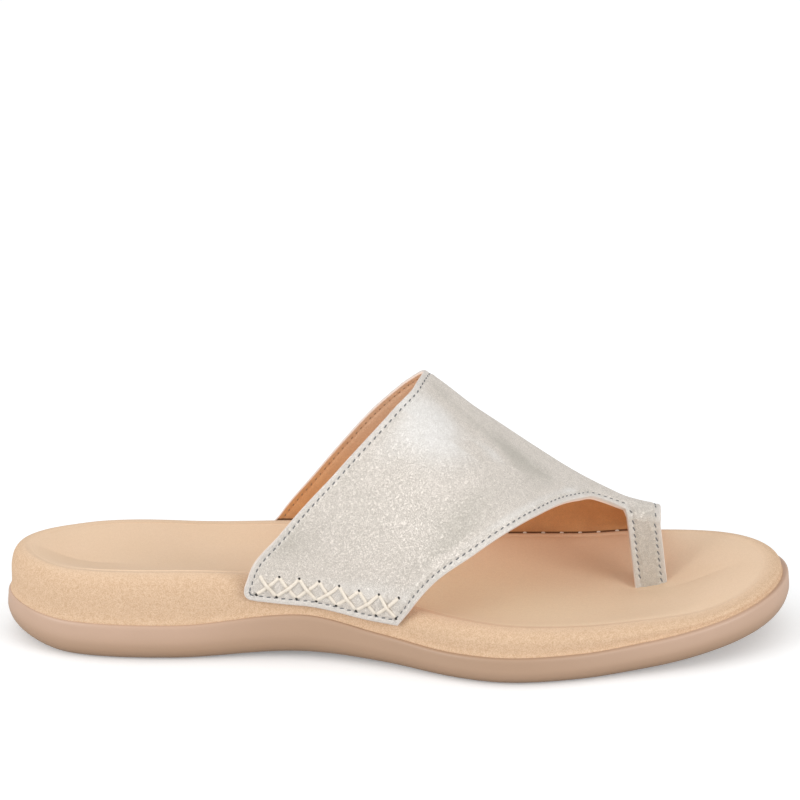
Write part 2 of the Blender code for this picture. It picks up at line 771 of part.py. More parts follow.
def make_collection(name):
    """Collection linked to the scene."""
    collection = bpy.data.collections.new(name)
    bpy.context.scene.collection.children.link(collection)
    return collection


def main():
    for old in list(bpy.data.objects):
        bpy.data.objects.remove(old, do_unlink=True)
    parts = make_collection(NAME)
    cutters = make_collection(NAME + "_cutters")
    rubber = make_material("outsole_rubber", (0.50, 0.36, 0.29), 0.45)
    suede = make_material("footbed_suede", (0.72, 0.53, 0.36), 0.9)
    sock = make_material("insole_suede", (0.75, 0.55, 0.37), 0.8)
    leather = make_material("metallic_leather", (0.66, 0.63, 0.57), 0.38, 0.55)
    cutter = make_slot_cutter(cutters)
    make_object("outsole", outsole_shape(), rubber, parts)
    add_slot(make_object("midsole", midsole_shape(), suede, parts), cutter)
    add_slot(make_object("insole", insole_shape(), sock, parts), cutter)
    upper = make_object("upper", upper_shape(), leather, parts)
    wall = upper.modifiers.new("leather wall", "SOLIDIFY")
    wall.thickness = UPPER_WALL
    wall.offset = 1.0


if __name__ == "__main__":
    main()
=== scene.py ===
"""Looks of the toe loop sandal: footbed, outsole, leather upper with its lining, stitches, light.

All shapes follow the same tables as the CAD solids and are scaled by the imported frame. They are
worked out in the last's own frame, with x from the back of the heel and y from the heel's axis,
and moved to the part's frame when a piece is made.
"""

import math

import bmesh
import bpy
import numpy as np
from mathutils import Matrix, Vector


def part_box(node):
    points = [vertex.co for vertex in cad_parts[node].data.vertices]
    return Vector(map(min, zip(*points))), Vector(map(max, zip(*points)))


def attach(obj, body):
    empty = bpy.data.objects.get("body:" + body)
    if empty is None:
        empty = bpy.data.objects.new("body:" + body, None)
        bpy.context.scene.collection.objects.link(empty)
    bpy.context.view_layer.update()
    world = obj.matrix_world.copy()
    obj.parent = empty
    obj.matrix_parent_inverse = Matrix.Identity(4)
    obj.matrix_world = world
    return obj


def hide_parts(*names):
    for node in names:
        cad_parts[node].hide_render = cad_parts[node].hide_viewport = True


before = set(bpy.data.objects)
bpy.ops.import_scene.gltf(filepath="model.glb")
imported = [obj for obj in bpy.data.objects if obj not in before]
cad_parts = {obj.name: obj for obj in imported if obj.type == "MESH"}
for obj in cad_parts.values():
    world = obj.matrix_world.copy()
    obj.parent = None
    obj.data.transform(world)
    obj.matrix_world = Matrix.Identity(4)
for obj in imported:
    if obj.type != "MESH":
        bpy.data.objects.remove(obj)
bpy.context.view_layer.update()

# The frame's sizes drive every shape: MM is one millimetre of a shoe that is 256 mm long.
OUTSOLE_LOW, OUTSOLE_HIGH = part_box("outsole")
SHOE_LENGTH = OUTSOLE_HIGH.x - OUTSOLE_LOW.x
BALL_WIDTH = OUTSOLE_HIGH.y - OUTSOLE_LOW.y
MM = SHOE_LENGTH / 256
INSTEP_HEIGHT = 86 * MM
TOE_SPRING = 8.5 * MM

# Outsole
OUTSOLE_SIDE = 12.5 * MM
OUTSOLE_FLAT_INSET = 6.5 * MM
CUP_DEPTH = 2.0 * MM
LIP_UNDER = 0.5 * MM
LEAST_LIP = 0.02 * MM
CUP_ROUNDING = 0.1 * MM
CUP_FLOOR_ROWS = (0.3, 0.65, 1.0)
LEAST_WIDTH = 0.3 * BALL_WIDTH

# Grooves of the tread. groove share: part of the pitch's wave that is cut. bend: how the grooves
# curve across. reach: way from the border to the middle line, over which they fade in. stretches
# and fade: where they lie, as shares of the shoe's length, and how fast they end there.
TREAD_DEPTH = 0.9 * MM
TREAD_PITCH = 7 * MM
TREAD_GROOVE_SHARE = 0.28
TREAD_BEND = 0.006 / MM
TREAD_REACH = 34 * MM
TREAD_BORDER = 9 * MM
TREAD_BARE_SHARE = 0.2
TREAD_STRETCHES = ((0.05, 0.34), (0.50, 0.95))
TREAD_FADE = 0.03

# Midsole and insole
MIDSOLE_SIDE = 16 * MM
MIDSOLE_INSET_HEEL = 1.5 * MM
MIDSOLE_INSET_TOE = 2.8 * MM
RIM_WIDTH = 6.6 * MM
RIM_DROP = 0.4 * MM
DISH_DEPTH = 6 * MM
SEAM_RIDGE = 0.35 * MM
RIDGE_SHARE = 0.07
RIDGE_WIDTH = 0.4 * MM
TUCK_DEPTH = 0.10 * MM
TUCK_WIDTH = 0.12 * MM
SEAT_INSET_SHARE = 0.14
SEAT_ROWS = (1.0, 0.6, 0.2)
INSOLE_EDGE_DEPTH = 1.2 * MM
INSOLE_UNDER_ROWS = (1.0, 0.5, 0.004)
INSOLE_ROWS = np.concatenate([np.linspace(0.0, 0.06, 9), np.linspace(0.06, 1.0, 70)[1:]])

# Strength of the suede's nap: whole on the side, fading over the rim by shares of its width.
NAP_FULL_TO = 0.15
NAP_FADE = 0.7
NAP_FADE_POWER = 1.2
NAP_LOSS = 0.8
INSOLE_NAP = 0.2

# Recess under the insole, from the seam inwards. First column: depth in millimetres below the
# insole's top. Second column: share of the way from the seam to the middle line.
RECESS_ROWS = (
    (0.6, 0.002),
    (2.6, 0.020),
    (3.0, 0.500),
    (3.0, 1.000),
)

# Upper
UPPER_WALL = 1.5 * MM
UPPER_TUCK = 6.6 * MM
UPPER_CORNER = 4 * MM
LOWER_EDGE_SAG = 1.35 * MM
LOOP_FRONT = 0.834 * SHOE_LENGTH
LINING_THICKNESS = 0.68 * MM
LAYER_GAP = 0.04 * MM
EDGE_ROUNDING = 0.4 * MM
LINING_ROUNDING = 0.15 * MM

# Toe loop strap
STRAP_BACK = 0.79 * SHOE_LENGTH
STRAP_WIDTH = 11.1 * MM
STRAP_FOOT_WIDTH = 10.6 * MM
STRAP_LEAN = 3.1 * MM
STRAP_TURN = 2 * MM
STRAP_DEPTH = 2.2 * MM
FOLD_RADIUS = 2.8 * MM
SEAT_GAP = 0.3 * MM

# Dent that the strap pulls into the footbed, a little behind its foot
DIMPLE_DEPTH = 1.1 * MM
DIMPLE_RADIUS = 6.5 * MM
DIMPLE_BEHIND = 3 * MM

# Stitches
STITCH_PITCH = 2.4 * MM
STITCH_INSET = 1.85 * MM
STITCH_LENGTH = 1.5 * MM
STITCH_WIDTH = 0.5 * MM
STITCH_FLATNESS = 0.64
STITCH_CLEAR_SHARE = 0.9
STITCH_GROOVE = 0.22 * MM
CHANNEL_WIDTH = 0.5 * MM
SEAM_SWELL = 0.10 * MM
SWELL_INSET = 1.2 * MM
SWELL_WIDTH = 0.7 * MM
STITCH_SLANT = math.radians(11)
STRAP_STITCH_LENGTH = 2.0 * MM
STRAP_STITCH_SLANT = math.radians(24)
LINING_STITCH_INSET = 1.45 * MM
LINING_STITCH_SIZE = 0.75
LINING_GROOVE_SHARE = 0.6
HOLE_LENGTH = 1.25 * MM
HOLE_WIDTH = 0.90 * MM
HOLE_HEIGHT = 0.10 * MM
HOLE_SINK = 0.04 * MM
HOLE_LEAN = 0.3

# Threads of the cross stitches and their ends on the lining
CROSS_SHIFT = 1.0 * MM
THREAD_WIDTH = 1.15 * MM
THREAD_HEIGHT = 0.5 * MM
THREAD_RISE = 0.50 * MM
THREAD_SINK = 0.30 * MM
THREAD_ARCH_POWER = 6
THREAD_LIFT = 0.55 * MM
THREAD_LIFT_SHARE = 0.16
THREAD_TIP_SHARE = 0.02
THREAD_END_DROP = 2.25 * MM
THREAD_END_SIZES = (0.7 * MM, 0.40 * MM, 0.30 * MM)

# Mesh density
SHARP_ANGLE = math.radians(50)
SIDE_STEPS = 150
SPLINE_STEPS = 96
UPPER_STEPS_ALONG = 70
FRONT_EDGE_STEPS = 60
STRAP_STEPS = 6
FOLD_STEPS = 14
LOOP_STEPS = 40
FOLD_ROWS = 12
STRAP_ROWS = 44
TREAD_ROWS = 60
OUTSOLE_ROWS = 40
FOOTBED_ROWS = 54
CAPSULE_ROWS = 7
THREAD_STEPS = 24
ROUND_ANGLES = np.linspace(0.0, 2 * math.pi, 8, endpoint=False)
BORDER_STEP = 0.25 * MM
STATION_STEP = 0.2 * MM
ROUND_STEP = 0.002
MERGE_DISTANCE = 1e-6
LEAST_LENGTH = 1e-12
LINE_SAMPLES = 400
CORNER_FAN_PLACE = -0.06
CORNER_FAN_SHARE = 5 / 8
FOLD_SHARE = 0.7
FRONT_CROWDING = 0.4
EDGE_ROWS = np.array([0, 0.07, 0.16, 0.28, 0.42, 0.65, 0.95, 1.25, 1.5, 1.75, 2.0, 2.25, 2.6, 3.1]) * MM

# Rows of cross stitches, with these columns in turn. side: -1 outer, 1 inner. count: crosses.
# start, pitch: millimetres from the heel and between crosses. low, high: millimetres of the holes
# above the upper's lower edge.
OUTER_CROSSES = (-1, 7, 83.2, 6.48, 2.6, 8.8)
INNER_CROSSES = (1, 17, 100.3, 6.20, 2.3, 7.4)

# Outline of the outsole seen from above, once round from the heel by the outer side.
# along: share of the shoe's length from the heel. across: share of the ball width from the
# heel's axis, negative on the outer side.
OUTLINE_COLUMNS = ("place", "along", "across")
OUTLINE = (
    ("heel back", 0.000, 0.000),
    ("outer heel corner", 0.039, -0.221),
    ("outer heel", 0.164, -0.334),
    ("outer waist", 0.383, -0.317),
    ("outer ball start", 0.508, -0.399),
    ("outer ball", 0.625, -0.517),
    ("outer toes", 0.781, -0.441),
    ("outer toe corner", 0.906, -0.317),
    ("outer toe end", 0.973, -0.160),
    ("toe tip", 1.000, 0.138),
    ("inner toe end", 0.973, 0.308),
    ("big toe", 0.891, 0.436),
    ("inner ball", 0.723, 0.470),
    ("inner ball start", 0.566, 0.394),
    ("inner waist", 0.391, 0.314),
    ("inner heel", 0.164, 0.334),
    ("inner heel corner", 0.039, 0.207),
)
TOE_TIP_ROW = 9

# Heights of the sole along its length.
# lift: share of the toe spring. side: share of the outsole's side. outer rim, inner rim: shares of
# the midsole's side. dish: share of the dish depth. ease: share of the way from the rim to the
# middle line in which the dish starts level.
SOLE_COLUMNS = ("along", "lift", "side", "outer rim", "inner rim", "dish", "ease")
SOLE_SECTIONS = (
    (0.00, 0.38, 0.93, 0.95, 0.95, 0.50, 0.14),
    (0.09, 0.00, 1.03, 1.00, 0.96, 0.90, 0.10),
    (0.22, 0.00, 1.02, 1.03, 0.93, 1.00, 0.05),
    (0.38, 0.24, 1.14, 0.67, 0.80, 0.75, 0.05),
    (0.48, 0.12, 0.88, 0.63, 0.84, 0.65, 0.05),
    (0.57, 0.00, 0.77, 0.60, 0.76, 0.60, 0.05),
    (0.73, 0.00, 0.78, 0.44, 0.62, 0.65, 0.08),
    (0.82, 0.16, 0.82, 0.31, 0.60, 0.82, 0.14),
    (0.91, 0.52, 0.85, 0.17, 0.50, 0.34, 0.25),
    (1.00, 1.00, 0.92, 0.25, 0.25, 0.12, 0.25),
)

# Side of the outsole from the tread up to the lip's inner edge.
# height: share of its side. bulge: share of the flat tread's inset that the side stands in.
OUTSOLE_PROFILE = (
    (0.000, 1.00),
    (0.006, 0.86),
    (0.050, 0.58),
    (0.160, 0.28),
    (0.340, 0.08),
    (0.550, 0.00),
    (0.780, 0.03),
    (0.920, 0.05),
    (0.975, 0.08),
    (0.995, 0.12),
    (1.000, 0.18),
)

# Side and rim of the footbed. height: share of its side. inset: share of the rim's width.
FOOTBED_PROFILE = (
    (-0.12, 0.06),
    (-0.03, -0.07),
    (0.01, -0.09),
    (0.05, -0.05),
    (0.12, -0.01),
    (0.22, 0.00),
    (0.45, 0.00),
    (0.70, 0.07),
    (0.86, 0.22),
    (0.96, 0.43),
    (1.00, 0.67),
    (1.00, 1.00),
)
RIM_CREST = 0.67
DISH_STEEPNESS = 2.3
SPINE_START = 0.13
SPINE_END = 0.87

# Strength of the ridge where the insole meets the rim, along the shoe. The tables of the painted highlight
# strip and of the outsole's painted shade have the same columns.
STRENGTH_COLUMNS = ("along", "strength")
SEAM_RIDGE_TABLE = (
    (0.00, 0.10),
    (0.08, 0.45),
    (0.16, 1.00),
    (0.34, 1.00),
    (0.50, 0.35),
    (0.62, 0.10),
    (1.00, 0.05),
)

# Sections of the last under the upper.
# crown: share of the instep height. centre: share of the ball width from the heel's axis.
# reach: 1 where the outer side comes down to the sole, 0 where it ends in the strap's fold.
# inner flatness: 1 is an ellipse, 2 a straight slope.
LAST_COLUMNS = ("along", "crown", "centre", "reach", "inner flatness")
LAST_SECTIONS = (
    (0.28, 1.233, 0.020, 1.00, 1.00),
    (0.40, 1.163, 0.040, 1.00, 1.00),
    (0.52, 1.016, 0.060, 1.00, 1.00),
    (0.60, 0.834, 0.085, 1.00, 1.05),
    (0.67, 0.683, 0.100, 1.00, 1.15),
    (0.73, 0.568, 0.112, 0.62, 1.30),
    (0.765, 0.510, 0.119, 0.19, 1.40),
    (0.79, 0.476, 0.121, 0.04, 1.50),
    (0.84, 0.434, 0.123, 0.00, 1.50),
)

# Collar edge of the upper, once over the instep.
# round: place round the section, -1 at the outer lower edge, 0 at the crown, 1 at the inner one.
EDGE_COLUMNS = ("along", "round")
COLLAR_EDGE = (
    (0.305, -1.00),
    (0.3185, -0.90),
    (0.356, -0.80),
    (0.4285, -0.59),
    (0.492, -0.33),
    (0.519, -0.15),
    (0.530, 0.08),
    (0.521, 0.23),
    (0.499, 0.385),
    (0.453, 0.585),
    (0.391, 0.795),
    (0.343, 0.925),
    (0.322, 1.00),
)

# Front edge of the upper from its lower outer corner to the corner where the strap starts.
FRONT_EDGE = (
    (0.504, -0.985),
    (0.521, -0.913),
    (0.548, -0.815),
    (0.593, -0.680),
    (0.640, -0.518),
    (0.689, -0.340),
    (0.727, -0.222),
    (0.746, -0.168),
    (0.768, -0.164),
    (0.786, -0.156),
)

# Soft troughs and ridges of the worn leather, listed one by one, with these columns in turn.
# along: share of the shoe's length. round: place round the section. turn: degrees from the shoe's
# length. long, wide: sizes in millimetres. height: millimetres, negative for a trough.
CREASES = (
    (0.660, -0.05, 4, 34, 5.0, -0.35),
    (0.690, -0.16, -28, 20, 4.0, -0.30),
    (0.735, -0.04, -8, 16, 3.0, -0.25),
    (0.625, -0.26, -20, 26, 7.0, 0.30),
    (0.545, -0.35, -62, 34, 8.0, 0.25),
    (0.505, -0.56, -55, 26, 7.0, -0.25),
    (0.590, 0.12, 8, 40, 7.0, -0.25),
    (0.700, 0.22, -6, 36, 6.0, -0.30),
    (0.740, 0.50, 10, 30, 7.0, 0.25),
    (0.560, 0.60, 35, 30, 8.0, -0.25),
)

# Soft darker and lighter places of the foil, listed one by one. The columns are those of the
# creases, with a tone in place of the height: 1 is nearly white, -1 is olive grey.
# The lighter places are painted highlights; the darker ones are partly the foil's own mottling and partly
# painted shade.
TONES = (
    (0.538, -0.310, -40, 32, 11.0, 1.10),
    (0.492, -0.390, 61, 26, 7.5, -0.18),
    (0.486, -0.475, 50, 16, 5.0, 0.35),
    (0.552, -0.100, -30, 22, 4.5, -0.45),
    (0.590, -0.150, -18, 22, 5.0, -0.20),
    (0.640, -0.150, -18, 30, 7.0, -0.50),
    (0.672, -0.245, -25, 22, 6.0, -0.15),
    (0.686, -0.150, -15, 18, 5.0, -0.35),
    (0.618, -0.235, -20, 18, 3.5, 0.70),
    (0.580, -0.600, 58, 50, 8.0, -0.45),
    (0.368, -0.820, 14, 22, 7.0, -0.40),
    (0.470, -0.900, 6, 60, 5.0, 0.50),
    (0.714, -0.190, -20, 16, 3.5, 0.40),
    (0.812, -0.160, 0, 18, 4.0, -0.35),
    (0.440, -0.600, -55, 30, 7.0, -0.20),
)
STRAP_TONE = -0.58
STRAP_TOP_SHARE = 0.5

# Painted highlight: a brighter strip inside the seam of the front edge; its distance and width, and where it
# lies.
HIGHLIGHT_STRIP_INSET = 3.6 * MM
HIGHLIGHT_STRIP_WIDTH = 1.7 * MM
HIGHLIGHT_STRIP_TONE = 0.6
HIGHLIGHT_STRIP_TABLE = (
    (0.50, 0.30),
    (0.56, 0.80),
    (0.62, 1.00),
    (0.70, 0.90),
    (0.74, 0.20),
    (0.79, 0.00),
)

# Painted shade: a darker stretch of the outsole's side, from the waist to the ball.
OUTSOLE_PAINTED_SHADE = (
    (0.00, 0.0),
    (0.20, 0.1),
    (0.40, 0.8),
    (0.62, 1.0),
    (0.85, 0.2),
    (1.00, 0.0),
)

# Painted light: a paler place of the insole under the upper's opening, lifting the shade that the upper
# casts there.
# Its values in turn: along and across as shares of the shoe's length and of the ball width, long
# and wide in millimetres, tone.
INSOLE_PAINTED_LIGHT = (0.60, -0.13, 82, 30, 1.13)

# Linear colours of the looks
COLOURS = {
    "foil": (0.93, 0.86, 0.785),
    "foil in patches": (0.83, 0.77, 0.695),
    "olive foil and painted shade": (0.45, 0.435, 0.365),
    "painted highlight on the foil": (1.0, 0.98, 0.95),
    "mottled foil": (0.54, 0.51, 0.44),
    "foil in wrinkles": (0.45, 0.41, 0.36),
    "foil by the seam": (0.76, 0.73, 0.70),
    "cut edge of the leather": (0.82, 0.74, 0.68),
    "lining": (0.75, 0.375, 0.155),
    "lining in patches": (0.67, 0.32, 0.13),
    "lining painted paler near the crown": (0.83, 0.58, 0.40),
    "lining in wrinkles": (0.46, 0.22, 0.10),
    "lining stain and painted shadow at the footbed": (0.10, 0.045, 0.02),
    "cut edge of the lining": (0.88, 0.70, 0.60),
    "suede": (0.83, 0.62, 0.44),
    "suede in patches": (0.81, 0.60, 0.41),
    "insole painted paler": (0.99, 0.85, 0.61),
    "suede side": (0.735, 0.53, 0.365),
    "suede speckle": (0.53, 0.345, 0.205),
    "outsole painted darker below": (0.405, 0.26, 0.165),
    "outsole painted lighter near the lip": (0.55, 0.375, 0.275),
    "outsole in patches": (0.44, 0.30, 0.21),
    "outsole in painted shade at the waist": (0.40, 0.26, 0.17),
    "cream thread": (0.84, 0.77, 0.67),
    "cream thread shade": (0.66, 0.58, 0.48),
    "grey thread": (0.20, 0.20, 0.20),
    "grey thread shade": (0.12, 0.12, 0.12),
    "brown thread": (0.30, 0.19, 0.12),
    "brown thread shade": (0.20, 0.12, 0.075),
    # The awl holes are painted shade: dark flat capsules stand where the holes are.
    "awl hole": (0.045, 0.04, 0.035),
    "awl hole shade": (0.02, 0.018, 0.015),
    "floor seen": (0.93, 0.945, 0.955),
    "floor bounce": (0.62, 0.62, 0.62),
    "white": (1, 1, 1),
    "black": (0, 0, 0),
}

# Base of the powers that give the shader nodes their bell
BELL_BASE = 2.718

# Camera and light
CAMERA_AZIMUTH = math.radians(1.4)
CAMERA_ELEVATION = math.radians(19.0)
CAMERA_DISTANCE = 1300 * MM
CAMERA_TARGET = (0.5 * MM, 2.1 * MM, 79.5 * MM)
CAMERA_LENS = 181.7
CAMERA_SENSOR = 36.0
CAMERA_CLIP = (0.05, 50.0)
WORLD_STRENGTH = 0.78
LIGHT_TARGET = (0.0, 0.0, 0.03)
SOFT_BOX_SIZE = (1.0, 0.8)
LEFT_BOX_PLACE = (-1.40, -1.00, 0.60)
LEFT_BOX_POWER = 15.5
RIGHT_BOX_PLACE = (1.45, -0.95, 0.60)
RIGHT_BOX_POWER = 13.5
FLOOR_HALF = 6.0
FLOOR_GLOW = 0.19


def column(table, names, name):
    """One named column of a table as an array."""
    return np.array([row[names.index(name)] for row in table], dtype=float)


def unit(vectors):
    """Vectors of length one."""
    return vectors / np.maximum(np.linalg.norm(vectors, axis=-1, keepdims=True), LEAST_LENGTH)


def bell(distance):
    """Gaussian bell: e to the minus square of the distance."""
    return np.exp(-distance ** 2)


def smooth_step(share):
    """A share kept between 0 and 1 and eased at both: its square times three less twice itself."""
    share = np.clip(share, 0.0, 1.0)
    return share * share * (3 - 2 * share)


def hermite(share, start, end, start_slope, end_slope):
    """Cubic between two values with given slopes at both."""
    square = share * share
    cube = square * share
    return (
        (2 * cube - 3 * square + 1) * start
        + (3 * square - 2 * cube) * end
        + (cube - 2 * square + share) * start_slope
        + (cube - square) * end_slope
    )


def smooth_curve(at, places, values):
    """Cubic curve through table values that never overshoots them.

    Each slope is the weighted harmonic mean of the rises on both sides, or 0 at a turning point.
    """
    steps = np.diff(places)
    rises = np.diff(values) / steps
    slopes = np.empty(len(places))
    slopes[0] = rises[0]
    slopes[-1] = rises[-1]
    before, after = rises[:-1], rises[1:]
    same_way = before * after > 0
    weight_before = 2 * steps[1:] + steps[:-1]
    weight_after = steps[1:] + 2 * steps[:-1]
    safe_before = np.where(same_way, before, 1.0)
    safe_after = np.where(same_way, after, 1.0)
    mean = (weight_before + weight_after) / (weight_before / safe_before + weight_after / safe_after)
    slopes[1:-1] = np.where(same_way, mean, 0.0)
    at = np.clip(at, places[0], places[-1])
    span = np.clip(np.searchsorted(places, at, side="right") - 1, 0, len(steps) - 1)
    width = steps[span]
    share = (at - places[span]) / width
    return hermite(share, values[span], values[span + 1], slopes[span] * width, slopes[span + 1] * width)


def table_value(table, names, x, name):
    """A column of a table at stations x, by a smooth curve over the shoe's length."""
    return smooth_curve(x / SHOE_LENGTH, column(table, names, "along"), column(table, names, name))


def closed_spline(points, steps):
    """Closed cubic spline through the points; its slopes solve the usual smoothness equations."""
    count = len(points)
    following = np.roll(points, -1, axis=0)
    chords = np.linalg.norm(following - points, axis=1)
    ahead = 1.0 / chords
    behind = np.roll(ahead, 1)
    system = np.zeros((count, count))
    rows = np.arange(count)
    system[rows, rows] = 2 * (ahead + behind)
    system[rows, (rows + 1) % count] = ahead
    system[rows, (rows - 1) % count] = behind
    pull = (following - points) * ahead[:, None] ** 2
    slopes = np.linalg.solve(system, 3 * (pull + np.roll(pull, 1, axis=0)))
    share = np.arange(steps)[None, :, None] / steps
    width = chords[:, None, None]
    curve = hermite(
        share,
        points[:, None, :],
        following[:, None, :],
        slopes[:, None, :] * width,
        np.roll(slopes, -1, axis=0)[:, None, :] * width,
    )
    return curve.reshape(-1, 2)


def travelled_lengths(points):
    """Length travelled along a line of points at each of them."""
    return np.concatenate([[0.0], np.cumsum(np.linalg.norm(np.diff(points, axis=0), axis=1))])


def resample(line, travelled, wanted):
    """The line's columns read at the wanted travelled lengths, straight between its points."""
    return np.stack([np.interp(wanted, travelled, line[:, axis]) for axis in range(line.shape[1])], axis=1)


def even_steps(curve, count):
    """The open curve resampled to `count` + 1 points that lie equally far apart."""
    travelled = travelled_lengths(curve)
    return resample(curve, travelled, np.linspace(0.0, travelled[-1], count + 1))


def fine_profile(table, steps):
    """A table of two columns as a smooth line: each column is a curve over the line's length."""
    points = np.array(table, dtype=float)
    travelled = travelled_lengths(points)
    wanted = np.linspace(0.0, travelled[-1], steps + 1)
    return np.stack([smooth_curve(wanted, travelled, points[:, axis]) for axis in range(2)], axis=1)


class Outline:
    """The sole seen from above: its edge, outward normals, middle line and both sides."""

    def __init__(self):
        along = column(OUTLINE, OUTLINE_COLUMNS, "along")
        across = column(OUTLINE, OUTLINE_COLUMNS, "across")
        dense = closed_spline(np.stack([along * SHOE_LENGTH, across * BALL_WIDTH], axis=1), SPLINE_STEPS)
        tip = TOE_TIP_ROW * SPLINE_STEPS
        outer = even_steps(dense[: tip + 1], SIDE_STEPS)
        inner = even_steps(np.concatenate([dense[tip:], dense[:1]]), SIDE_STEPS)
        edge = np.concatenate([outer, inner[1:-1]])
        edge[:, 0] = (edge[:, 0] - edge[:, 0].min()) * SHOE_LENGTH / np.ptp(edge[:, 0])
        edge[:, 1] *= BALL_WIDTH / np.ptp(edge[:, 1])
        self.edge = edge
        self.outer = edge[: SIDE_STEPS + 1]
        self.inner = np.concatenate([edge[:1], edge[: SIDE_STEPS - 1 : -1]])
        self.middle = 0.5 * (edge[:, 1].min() + edge[:, 1].max())
        ahead = np.roll(edge, -1, axis=0) - np.roll(edge, 1, axis=0)
        normal = unit(np.stack([ahead[:, 1], -ahead[:, 0]], axis=1))
        outward = np.sum((edge - edge.mean(axis=0)) * normal) > 0
        self.normal = normal if outward else -normal
        self.pair = np.concatenate([np.arange(SIDE_STEPS + 1), np.arange(SIDE_STEPS - 1, 0, -1)])
        spine_x = SHOE_LENGTH * np.linspace(SPINE_START, SPINE_END, SIDE_STEPS + 1)
        self.spine = np.stack([spine_x, 0.5 * (self.outer_y(spine_x) + self.inner_y(spine_x))], axis=1)

    def outer_y(self, x):
        """Across place of the outer edge at a station."""
        return np.interp(x, self.outer[:, 0], self.outer[:, 1])

    def inner_y(self, x):
        """Across place of the inner edge at a station."""
        return np.interp(x, self.inner[:, 0], self.inner[:, 1])

    def ring(self, inset):
        """The edge moved in by an inset, one value or one for each point."""
        return self.edge - self.normal * np.broadcast_to(inset, len(self.edge))[:, None]

    def inward(self, start, share):
        """Points that have gone a share of the way from a ring to the middle line."""
        return start + (self.spine[self.pair] - start) * share

    def inner_share(self, x, y):
        """0 at the outer edge and 1 at the inner edge of the station."""
        width = np.maximum(self.inner_y(x) - self.outer_y(x), LEAST_WIDTH)
        centre = 0.5 * (self.inner_y(x) + self.outer_y(x))
        return np.clip((y - centre) / width + 0.5, 0.0, 1.0)


OUTLINE_SHAPE = Outline()


def sole_value(x, name):
    """A column of the sole's table at stations x."""
    return table_value(SOLE_SECTIONS, SOLE_COLUMNS, x, name)


def tread_height(x):
    """Height of the outsole's underside: the toe spring times the table's lift."""
    return TOE_SPRING * sole_value(x, "lift")


def lip_height(x):
    """Height of the outsole's lip: the underside plus the side."""
    return tread_height(x) + OUTSOLE_SIDE * sole_value(x, "side")


def rim_height(x, inner_share):
    """Height of the footbed's rim, blended from the outer to the inner side."""
    outer = sole_value(x, "outer rim")
    inner = sole_value(x, "inner rim")
    return lip_height(x) + MIDSOLE_SIDE * (outer + (inner - outer) * smooth_step(inner_share))


def footbed_height(x, y, depth_share):
    """Top of the insole: the rim's height less a bowl, level at the rim and at the middle line."""
    ease = sole_value(x, "ease")
    eased = depth_share * depth_share * (1 + ease) / (depth_share + ease)
    bowl = 1 - (1 - eased) ** DISH_STEEPNESS
    rim = rim_height(x, OUTLINE_SHAPE.inner_share(x, y))
    return rim - RIM_DROP - DISH_DEPTH * sole_value(x, "dish") * bowl


def midsole_inset(x):
    """How far the footbed's wall stands in from the outsole's outline."""
    return MIDSOLE_INSET_HEEL + (MIDSOLE_INSET_TOE - MIDSOLE_INSET_HEEL) * x / SHOE_LENGTH


def last_value(x, name):
    """A column of the last's table at stations x."""
    return table_value(LAST_SECTIONS, LAST_COLUMNS, x, name)


def quarter_ellipse_length(width, height):
    """Length of a quarter of an ellipse (Ramanujan's short formula)."""
    total = 3 * (width + height)
    return 0.25 * math.pi * (total - np.sqrt((3 * width + height) * (width + 3 * height)))


def seat_line(start, end):
    """Function that gives the across place of the upper's inside along one side of the sole."""
    inset = midsole_inset(OUTLINE_SHAPE.edge[:, 0]) - SEAT_GAP
    line = OUTLINE_SHAPE.ring(inset)[start:end]
    line = line[np.argsort(line[:, 0])]
    return lambda x: np.interp(x, line[:, 0], line[:, 1])


def strap_length():
    """Length of the strap's flat from the fold's foot to the middle of the footbed below it."""
    x = np.array([STRAP_BACK + 0.5 * STRAP_WIDTH])
    y = BALL_WIDTH * last_value(x, "centre")
    return float((INSTEP_HEIGHT * last_value(x, "crown") - FOLD_RADIUS - footbed_height(x, y, 1.0))[0])


UPPER_SEAT_OUTER = seat_line(0, SIDE_STEPS + 1)
UPPER_SEAT_INNER = seat_line(SIDE_STEPS, 2 * SIDE_STEPS)
STRAP_LENGTH = strap_length()


def half_section(x, outer_half):
    """Sizes of one half of the last's section at stations x.

    Returns the width and the rise of its curve, the length of the straight stretch below it and
    the share of the whole length that the curve takes.
    """
    reach = np.where(outer_half, last_value(x, "reach"), 1.0)
    sole_y = np.where(outer_half, UPPER_SEAT_OUTER(x), UPPER_SEAT_INNER(x))
    sole_z = rim_height(x, np.where(outer_half, 0.0, 1.0))
    full_width = np.abs(sole_y - BALL_WIDTH * last_value(x, "centre"))
    full_rise = INSTEP_HEIGHT * last_value(x, "crown") - sole_z
    width = FOLD_RADIUS + reach * (full_width - FOLD_RADIUS)
    rise = FOLD_RADIUS + reach * (full_rise - FOLD_RADIUS)
    straight = STRAP_LENGTH + reach * (UPPER_TUCK - STRAP_LENGTH)
    arc = quarter_ellipse_length(width, rise)
    return width, rise, straight, arc / (arc + straight)


